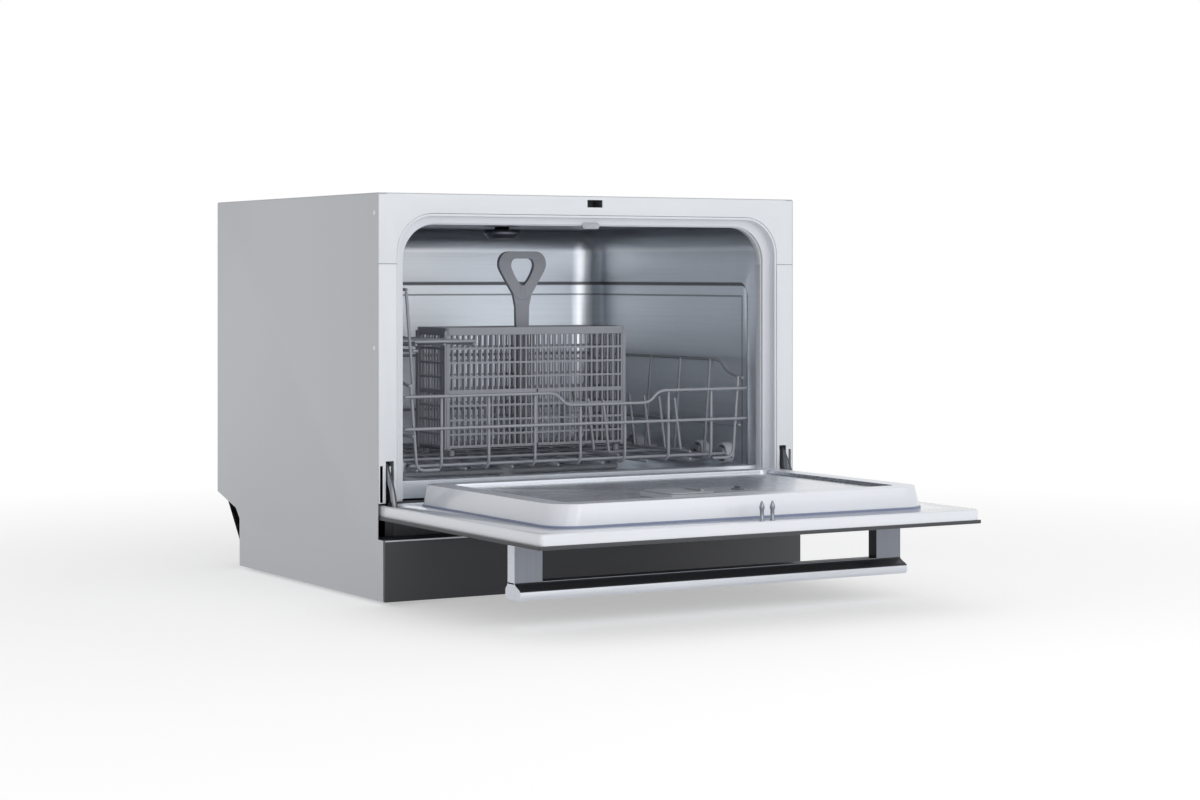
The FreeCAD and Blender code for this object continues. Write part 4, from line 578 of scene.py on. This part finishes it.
shelf = {"start": 22.0, "end": 278.0, "reach": 82.0, "wires": 8, "clips": (75.0, 205.0)}
shell = Shell()
near, far = hingeX + 6, hingeX + shelf["reach"]
rise = hingeZ + 4.18 + 1.8
for x in (near + 1.8, (near + far) / 2, far):
    tube(shell, [(x, shelf["start"], rise), (x, shelf["end"], rise)], 1.8, (0, 0, 1))
for y in np.linspace(shelf["start"] + 4, shelf["end"] - 4, shelf["wires"]):
    tube(shell, [(near, y, rise + layer), (far + 1.8, y, rise + layer)], 1.8, (0, 0, 1))
for y in shelf["clips"]:
    turn = np.linspace(0, 2 * math.pi, 28, endpoint=False)
    for first, last in ((4.2, 1.85),):
        rings = [np.stack([hingeX + size * np.cos(turn), np.full(28, place), hingeZ + size * np.sin(turn)], -1)
                 for size, place in ((last, y - 6), (first, y - 6), (first, y + 6), (last, y + 6))]
        shell.grid(np.array(rings), aroundRows=True)
    shell.boxes((hingeX + 3.4, y - 6, hingeZ + 2.2), (near + 4, y + 6, hingeZ + 4.16))
shell.make("cupShelfWires", "cup_shelf", "wire_grey", ("cup_shelf",), "rack")
print("rack made")


# Cutlery basket

basket = {"half": 122.0, "front": 105.0, "back": 185.0, "low": 155.0, "top": 298.0, "feet": 147.0, "column": 7.5, "row": 17.0,
          "bar": 1.0, "thick": 0.9, "rim": 9.0}


def lattice(shell, across, low, high, plane, axis):
    # Upright bars every column pitch and level bars every row pitch, both centred on one wall plane.
    first, last = across
    columns = np.linspace(first, last, int(round((last - first) / basket["column"])) + 1)
    rows = np.linspace(low, high, int(round((high - low) / basket["row"])) + 1)
    bar, thick = basket["bar"], basket["thick"]
    upright = np.array([(c - bar, plane - thick, low, c + bar, plane + thick, high) for c in columns])
    level = np.array([(first, plane - thick * 0.8, r - bar * 1.2, last, plane + thick * 0.8, r + bar * 1.2) for r in rows])
    both = np.concatenate([upright, level])
    if axis == "y":
        both = both[:, (1, 0, 2, 4, 3, 5)]
    shell.boxes(both[:, :3], both[:, 3:])


shell = Shell()
half, low, top = basket["half"] - 2.0, basket["low"], basket["top"]
for plane in (basket["front"] + 2.0, basket["back"] - 2.0):
    lattice(shell, (-half, half), low + 1, top - 8, plane, "x")
for plane in (-half, half, 0.0):
    lattice(shell, (basket["front"] + 2.0, basket["back"] - 2.0), low + 1, top - 8, plane, "y")
floorBars = [(x - 1, basket["front"] + 1, low, x + 1, basket["back"] - 1, low + 1.8) for x in np.linspace(-half, half, 33)]
floorBars += [(-half, y - 1, low + 0.2, half, y + 1, low + 1.6) for y in np.linspace(basket["front"] + 2, basket["back"] - 2, 11)]
floorBars = np.array(floorBars)
shell.boxes(floorBars[:, :3], floorBars[:, 3:])
shell.make("basketLattice", "cutlery_basket", "basket_grey", ("cutlery_basket",), "rack", smooth=30.0)

shell = Shell()


def band(shell, inset, low, high, thick, corner):
    # A rounded rectangular band: outer and inner rings at two heights, closed round its section.
    rings = []
    for grow, height in ((0, low), (0, high), (thick, high), (thick, low)):
        x1, y0, y1 = basket["half"] - inset - grow, basket["front"] + inset + grow, basket["back"] - inset - grow
        r = max(corner - grow, 0.6)
        turn = np.linspace(0, math.pi / 2, 5)
        ring = [np.stack([cx + r * np.cos(turn + start), cy + r * np.sin(turn + start)], -1) for cx, cy, start in
                ((x1 - r, y1 - r, 0), (r - x1, y1 - r, math.pi / 2), (r - x1, y0 + r, math.pi), (x1 - r, y0 + r, math.pi * 1.5))]
        ring = np.concatenate(ring)
        rings.append(np.column_stack([ring, np.full(len(ring), height)]))
    shell.grid(np.array(rings), aroundRows=True)


band(shell, 0.0, top - basket["rim"], top, 3.0, 6.0)
posts = np.array([(sx * half - 3.4, sy - 3.4, low, sx * half + 3.4, sy + 3.4, top - 4) for sx in (-1, 1)
                  for sy in (basket["front"] + 5.0, basket["back"] - 5.0)])
shell.boxes(posts[:, :3] + (0, 0, 0), posts[:, 3:])
band(shell, 1.0, top - 78.0, top - 73.0, 2.2, 5.0)
band(shell, 1.0, low, low + 5.0, 2.2, 5.0)
for x in (-basket["half"] + 10, basket["half"] - 10):
    for y in (112.0, 178.0):
        turned(shell, [(2.4, basket["feet"]), (3.6, basket["feet"] + 1), (4.2, low + 2)], (x, y, 0), "z", 20)
shell.make("basketRim", "cutlery_basket", "basket_grey", (), "rack", smooth=40.0, bevel=0.5)

# The loop is a flat plate: its outer line and its hole are rounded runs of equally many points, joined through the thickness.
loop = {"thick": 3.2, "outer": [(0, 388), (27, 388), (34.5, 372), (21, 350), (9, 331), (0, 329)],
        "hole": [(0, 379.5), (13, 379.5), (16.5, 371), (10, 357), (3, 348), (0, 347.5)]}


def mirroredLine(points, radius):
    points = np.array(points, float)
    whole = np.concatenate([points, points[-2:0:-1] * (-1, 1)])
    run = rounded(np.concatenate([whole, whole[:1]]), radius, 5)[:-1]
    return run


middle = (basket["front"] + basket["back"]) / 2
outer, hole = mirroredLine(loop["outer"], 9.0), mirroredLine(loop["hole"], 5.0)
rings = []
for line, sides in ((hole, (-1,)), (outer, (-1, 1)), (hole, (1,))):
    rings += [np.stack([line[:, 0], np.full(len(line), middle + side * loop["thick"]), line[:, 1]], -1) for side in sides]
shell = Shell().grid(np.array(rings), aroundRows=True)
stem = [(-6, low + 2), (6, low + 2), (6, 290), (9, 300), (9.4, 322), (13, 338), (-13, 338), (-9.4, 322), (-9, 300), (-6, 290)]
prism(shell, stem, middle - 2.6, middle + 2.6, "y")
shell.make("basketLoop", "cutlery_basket", "basket_grey", (), "rack", smooth=40.0, bevel=1.2, steps=3)
print("basket made")


# Door

handle = {"half": 243.5, "leg": 33.0, "near": -244.9, "far": -229.9, "lip": 16.0, "outer": -8.92, "grip": -52.4, "end": -70.4}


def handleOutline(top):
    # Grip seen from its end: its walls run down, swell by an S curve into the lip, and end in a rounded flat foot.
    middle = (handle["near"] + handle["far"]) / 2 - 3.6
    end, lip = handle["end"], handle["lip"]
    t = np.linspace(0, 1, 9)
    ease = t * t * (3 - 2 * t)
    near = np.stack([handle["near"] + (middle - lip - handle["near"]) * ease, end + 17 - 8 * t], -1)
    far = np.stack([handle["far"] + (middle + lip - handle["far"]) * ease, end + 17 - 8 * t], -1)
    turn = np.linspace(0, math.pi / 2, 6)
    corner = np.stack([1 - np.cos(turn), 1 - np.sin(turn)], -1) * 3.5
    bottom = np.concatenate([corner * (1, 1) + (middle - lip, end), corner[::-1] * (-1, 1) + (middle + lip, end)])
    start = np.array([(handle["near"], top)])
    return np.concatenate([start, near, bottom, far[::-1], np.array([(handle["far"], top)])])


shell = Shell()
window = handle["half"] - handle["leg"]
prism(shell, handleOutline(handle["grip"]), -handle["half"], handle["half"], "x")
for way in (-1, 1):
    x0, x1 = sorted((way * window, way * handle["half"]))
    prism(shell, [(handle["near"], handle["grip"] - 3), (handle["near"], handle["outer"]), (handle["far"], handle["outer"]),
                  (handle["far"], handle["grip"] - 3)], x0, x1, "x")
bar = shell.make("handleBar", "door", "handle_silver", ("door_handle",), "door", smooth=35.0, bevel=1.2)
# Painted shade: the grip's faces that look up under the door glass, and the legs' faces towards the window, take black
# gloss.
paintFaces(bar, "black_gloss", lambda normal, centre: (normal[:, 2] > 0.25) | ((abs(normal[:, 0]) > 0.9) & (
    abs(centre[:, 0]) < (window + 1) / 1000)))
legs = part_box("door_handle")[1].z - 0.044
paintFaces(bar, "legSteel", lambda normal, centre: (normal[:, 1] < -0.9) & (centre[:, 2] > legs))
pane = welded("door_glass", "doorGlassPane", "door", 0.5, 2)
paintFaces(pane, "glassEdge", lambda normal, centre: abs(normal[:, 2]) < 0.5)
welded("door_frame", "doorRim", "door", 0.9, 2)
plug = welded("door_inner_panel", "doorPlug", "door", 2.2, 4, 38.0)
paintFaces(plug, "plugBorder", lambda normal, centre: (normal[:, 2] > 0.9) & (centre[:, 2] > 0.1306))
paintFaces(plug, "door_white", lambda normal, centre: (abs(normal[:, 2]) < 0.4) & (
    (abs(centre[:, 0]) > 0.222) | (centre[:, 1] < -0.36) | (centre[:, 1] > -0.078)))
welded("dispenser_body", "dispenserBody", "door", 0.8, 3)
welded("detergent_lid", "detergentLid", "detergent_lid", 0.5, 2)
welded("rinse_cap", "rinseCap", "rinse_cap", 0.4, 2)
ridges = np.array([(x, -272.0, 135.5, x + 1.2, -245.0, 136.3) for x in (-37.0, -34.0, -31.0, -28.0)])
shell = Shell()
shell.boxes(ridges[:, :3], ridges[:, 3:])
shell.make("lidRidges", "detergent_lid", "dispenser_grey", (), bevel=0.3)
hook = {"place": -340.4, "foot": 6.72, "apart": 6.5}
shell = Shell()
pin = [(2.7, 0), (2.7, 1.2), (2.1, 1.8), (2.1, 11.2), (2.7, 12.2), (2.7, 14.8), (1.6, 18.2), (0.7, 20.2)]
for way in (-1, 1):
    turned(shell, np.array(pin) + (0, hook["foot"]), (way * hook["apart"], hook["place"], 0), "z", 24)
shell.make("latchPins", "door", "bright_steel", ("latch_hook",), "door", smooth=50.0).data.materials[0] = paints["pinSteel"]

# A soft line closes the joint round the plug's foot: rounded rectangles, nearly the plug's own outline.
shell = Shell()
rings = []
for grow, height in ((0.9, 6.72), (0.9, 8.4), (0.2, 8.9), (-1.0, 8.9), (-1.0, 6.72)):
    corners = [(-234, -313, 32, math.pi), (234, -313, 32, math.pi * 1.5), (234, -6, 18, 0), (-234, -6, 18, math.pi / 2)]
    ring = []
    for x, y, radius, start in corners:
        turn = start + np.linspace(0, math.pi / 2, 9)
        sx, sy = np.sign(x), -1.0 if y < -100 else 1.0
        ring.append(np.stack([x - sx * radius + (radius + grow) * np.cos(turn), y - sy * radius + (radius + grow) * np.sin(turn),
                              np.full(9, height)], -1))
    rings.append(np.concatenate(ring))
shell.grid(np.array(rings), aroundRows=True)
shell.make("plugFootLine", "door", "seal_grey", (), "door").data.materials[0] = paints["plugLine"]
print("door made")


# Case, frame and tub

for node, width in (("side_panel_left", 0.6), ("side_panel_right", 0.6), ("top_panel", 0.25), ("back_panel", 0.25),
                    ("base_tray", 0.6), ("plinth_panel", 0.8), ("feet", 0.8), ("front_frame_trim", 0.9),
                    ("front_pillar_left", 0.5), ("front_pillar_right", 0.5), ("door_seal", 0.8), ("door_lock", 0.5),
                    ("splash_tab", 0.3), ("tub", 0.0), ("sump", 0.0), ("filter_plate", 0.0), ("filter_cylinder", 0.0),
                    ("upper_spray_head", 0.0), ("spray_feed_pipe", 0.8), ("wash_pump", 0.0), ("flow_heater", 0.0),
                    ("drain_pump", 0.0), ("drain_spigot", 0.0), ("inlet_valve", 0.0), ("cord_gland", 0.0), ("leak_float", 0.8),
                    ("hinge_bracket_left", 0.3), ("hinge_bracket_right", 0.3)):
    welded(node, node + ".dressed", "machine", width)
for side in ("left", "right"):
    arm = welded("hinge_arm_" + side, "hingeArm." + side, "door", 0.3)
    paintFaces(arm, "black_gloss", lambda normal, centre: normal[:, 1] < -0.3)
welded("control_board", "controlBoard", "door", 0.2)
welded("lower_spray_arm", "sprayArm", "lower_spray_arm", 0.8)

# Jets stand a little out of the arm's two halves, left and right of its middle line in turn.
mesh = cad["lower_spray_arm"].data
corners = np.array([corner.co for corner in mesh.vertices]) * 1000
jets = {"top": corners[abs(corners[:, 0]) > 60, 2].max(), "middle": 225.0, "start": 48.0, "pitch": 20.0, "count": 6}
shell = Shell()
for way in (-1, 1):
    for number in range(jets["count"]):
        place = (way * (jets["start"] + jets["pitch"] * number), jets["middle"] + 5.0 * (-1) ** number * way, jets["top"])
        turned(shell, [(3.0, -0.3), (2.8, 0.5), (2.0, 0.9), (1.2, 0.9), (1.0, 0.1)], place, "z", 20)
shell.make("sprayJets", "lower_spray_arm", "dark_plastic", (), smooth=35.0)

# Painted shade: the spray head takes the darker steel of the shaded roof.
bpy.data.objects["upper_spray_head.dressed"].data.materials[0] = paints["headShadeSteel"]
# Painted highlight: a thin light strip along the plinth's top edge stands for the highlight on that edge.
shell = Shell()
shell.boxes((-274.2, -17.0, 69.7), (274.2, -15.7, 71.1))
shell.make("plinthHighlightStrip", "machine", "trim_grey")
# Painted shade: thin black sheets in the hinge slots stand for the shade inside them.
shell = Shell()
for x0, x1 in ((-255.4, -245.0), (245.0, 255.4)):
    shell.boxes((x0, 22.6, 70.9), (x1, 23.6, 96.3))
shell.make("hingeSlotShade", "machine", "black_gloss")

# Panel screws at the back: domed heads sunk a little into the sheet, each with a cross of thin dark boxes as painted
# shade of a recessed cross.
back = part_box("back_panel")
screws = {"edge": 262.0, "rows": (96.0, 262.0, 438.0), "level": back[1].y * 1000 + 52.5}
shell = Shell()
crossShade = Shell()
for x in (-screws["edge"], 0.0, screws["edge"]):
    for z in screws["rows"]:
        if x or z != 262.0:
            turned(shell, [(3.6, -0.2), (3.4, 0.5), (2.2, 0.95), (0.4, 1.05)], (x, screws["level"], z), "y", 24)
            for long, tall in ((1.8, 0.35), (0.35, 1.8)):
                crossShade.boxes((x - long, screws["level"] + 0.7, z - tall), (x + long, screws["level"] + 1.12, z + tall))
shell.make("backScrews", "machine", "bright_steel", (), smooth=40.0)
crossShade.make("backScrewCrossShade", "machine", "dark_plastic")
seams = np.array([(x0, -0.12, 371.75, x1, 1.2, 372.25) for x0, x1 in ((-274.0, -252.2), (252.2, 274.0))])
shell = Shell()
shell.boxes(seams[:, :3], seams[:, 3:])
shell.make("frameSeams", "machine", "dark_plastic")
shell = Shell()
for x, y, z in ((-275.0, 9.0, 280.0), (-275.0, 9.0, 428.0)):
    turned(shell, [(2.6, 0.0), (2.4, -0.3), (1.6, -0.55)][::-1], (x, y, z), "x", 20)
shell.make("panelPlugs", "machine", "trim_grey", (), smooth=30.0)

spring = {"x": 251.1, "front": 34.0, "high": 150.0, "back": 0.0, "low": 66.0, "coil": 3.9, "wire": 1.0, "turns": 46}
for side, way in (("left", -1), ("right", 1)):
    low, high = (np.array(corner) * 1000 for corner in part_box("hinge_spring_" + side))
    x = way * 251.1
    start, end = np.array([x, 34.0 + 10.5, 144.5]), np.array([x, high[1] + 52.5 - 14.0, 71.5])
    along = (end - start) / np.linalg.norm(end - start)
    up = np.cross(along, (1.0, 0, 0))
    turns = np.linspace(0, 1, spring["turns"] * 14)
    angle = turns * spring["turns"] * 2 * math.pi
    centre = start + (end - start) * turns[:, None]
    coil = centre + spring["coil"] * (np.cos(angle)[:, None] * np.array([1.0, 0, 0]) + np.sin(angle)[:, None] * up)
    shell = Shell()
    tube(shell, coil, spring["wire"], (1, 0, 0.3), 6, False)
    hook = rounded([start + along * 3, start - along * 6, (x, 33.6, 149.0), (way * 246.5, 33.6, 149.0)], 5.0)
    tube(shell, hook, 1.2, (0, 0, 1), 8)
    tail = rounded([end - along * 3, end + along * 8, (x, high[1] + 51.0, 68.0)], 4.0)
    tube(shell, tail, 1.2, (1, 0, 0), 8)
    shell.make("balanceSpring." + side, "machine", "spring_steel", ("hinge_spring_" + side,), "machine")
print("case made")


# Studio

studio = {"floor": 6.0, "lamp": 60.0}
g = Graph("studioFloor")
g.finish(Base_Color=tone(222, 222, 222), Roughness=0.9, Specular_IOR_Level=0.1)
floorMaterial = g.material
glow = g.node("ShaderNodeEmission", {}, {"Color": (1, 1, 1, 1), "Strength": 0.42})
total = g.node("ShaderNodeAddShader", {}, [Value(g, g.shader.outputs[0]), glow])
bare = g.node("ShaderNodeEmission", {}, {"Color": (1, 1, 1, 1), "Strength": 1.0})
reach = g.node("ShaderNodeVectorMath", {"operation": "LENGTH"}, [g.node("ShaderNodeTexCoord", output=3)], output=1)
far = g.node("ShaderNodeMapRange", {"clamp": True}, {0: reach, 1: 0.6, 2: 1.5, 3: 0.0, 4: 1.0})
seen = g.node("ShaderNodeMixShader", {}, [far, total, bare])
g.tree.links.new(seen.socket, g.tree.nodes["Material Output"].inputs["Surface"])
mesh = bpy.data.meshes.new("studioFloor")
span = studio["floor"]
mesh.from_pydata([(-span, -span, 0), (span, -span, 0), (span, span, 0), (-span, span, 0)], [], [(0, 1, 2, 3)])
mesh.materials.append(floorMaterial)
floor = bpy.data.objects.new("studioFloor", mesh)
bpy.context.scene.collection.objects.link(floor)

world = bpy.context.scene.world or bpy.data.worlds.new("studioWorld")
bpy.context.scene.world = world
world.use_nodes = True
world.node_tree.nodes.clear()
g = Graph("studioWorld", world.node_tree)
path = g.node("ShaderNodeLightPath")
rays = [Value(g, path.socket.node.outputs[name]) for name in ("Is Camera Ray", "Is Glossy Ray", "Is Transmission Ray")]
seen = g.node("ShaderNodeMath", {"operation": "MAXIMUM"}, (rays[0], g.node("ShaderNodeMath", {"operation": "MAXIMUM"}, rays[1:])))
back = g.node("ShaderNodeBackground", {}, {"Color": (1, 1, 1, 1), "Strength": seen * 0.45 + 0.55})
sink = world.node_tree.nodes.new("ShaderNodeOutputWorld")
world.node_tree.links.new(back.socket, sink.inputs["Surface"])


def lamp(name, place, target, size, power):
    light = bpy.data.lights.new(name, "AREA")
    light.shape, light.size, light.energy = "SQUARE", size, power
    holder = bpy.data.objects.new(name, light)
    holder.location = place
    aim = np.array(target) - np.array(place)
    holder.rotation_euler = Vector(aim.tolist()).to_track_quat("-Z", "Y").to_euler()
    bpy.context.scene.collection.objects.link(holder)


lamp("keyLamp", (0.9, -2.3, 1.7), (0.0, 0.0, 0.25), 2.2, 12.0)
lamp("fillLamp", (-0.5, -2.0, 0.45), (0.0, 0.1, 0.25), 1.4, 6.0)
lamp("mouthLamp", (0.25, -1.4, 0.62), (-0.05, 0.3, 0.28), 0.8, 1.5)

camera = {"place": (-1.479, -2.5675, 0.361), "turn": (90.0, 0.0, -30.14), "lens": 76.44, "shift": (0.01583, -0.1051)}
lens = bpy.data.cameras.new("photoCamera")
lens.lens, lens.sensor_width = camera["lens"], 36.0
lens.shift_x, lens.shift_y = camera["shift"]
viewer = bpy.data.objects.new("photoCamera", lens)
viewer.location = camera["place"]
viewer.rotation_euler = [math.radians(angle) for angle in camera["turn"]]
bpy.context.scene.collection.objects.link(viewer)
bpy.context.scene.camera = viewer
bpy.context.scene.view_settings.view_transform = "Standard"
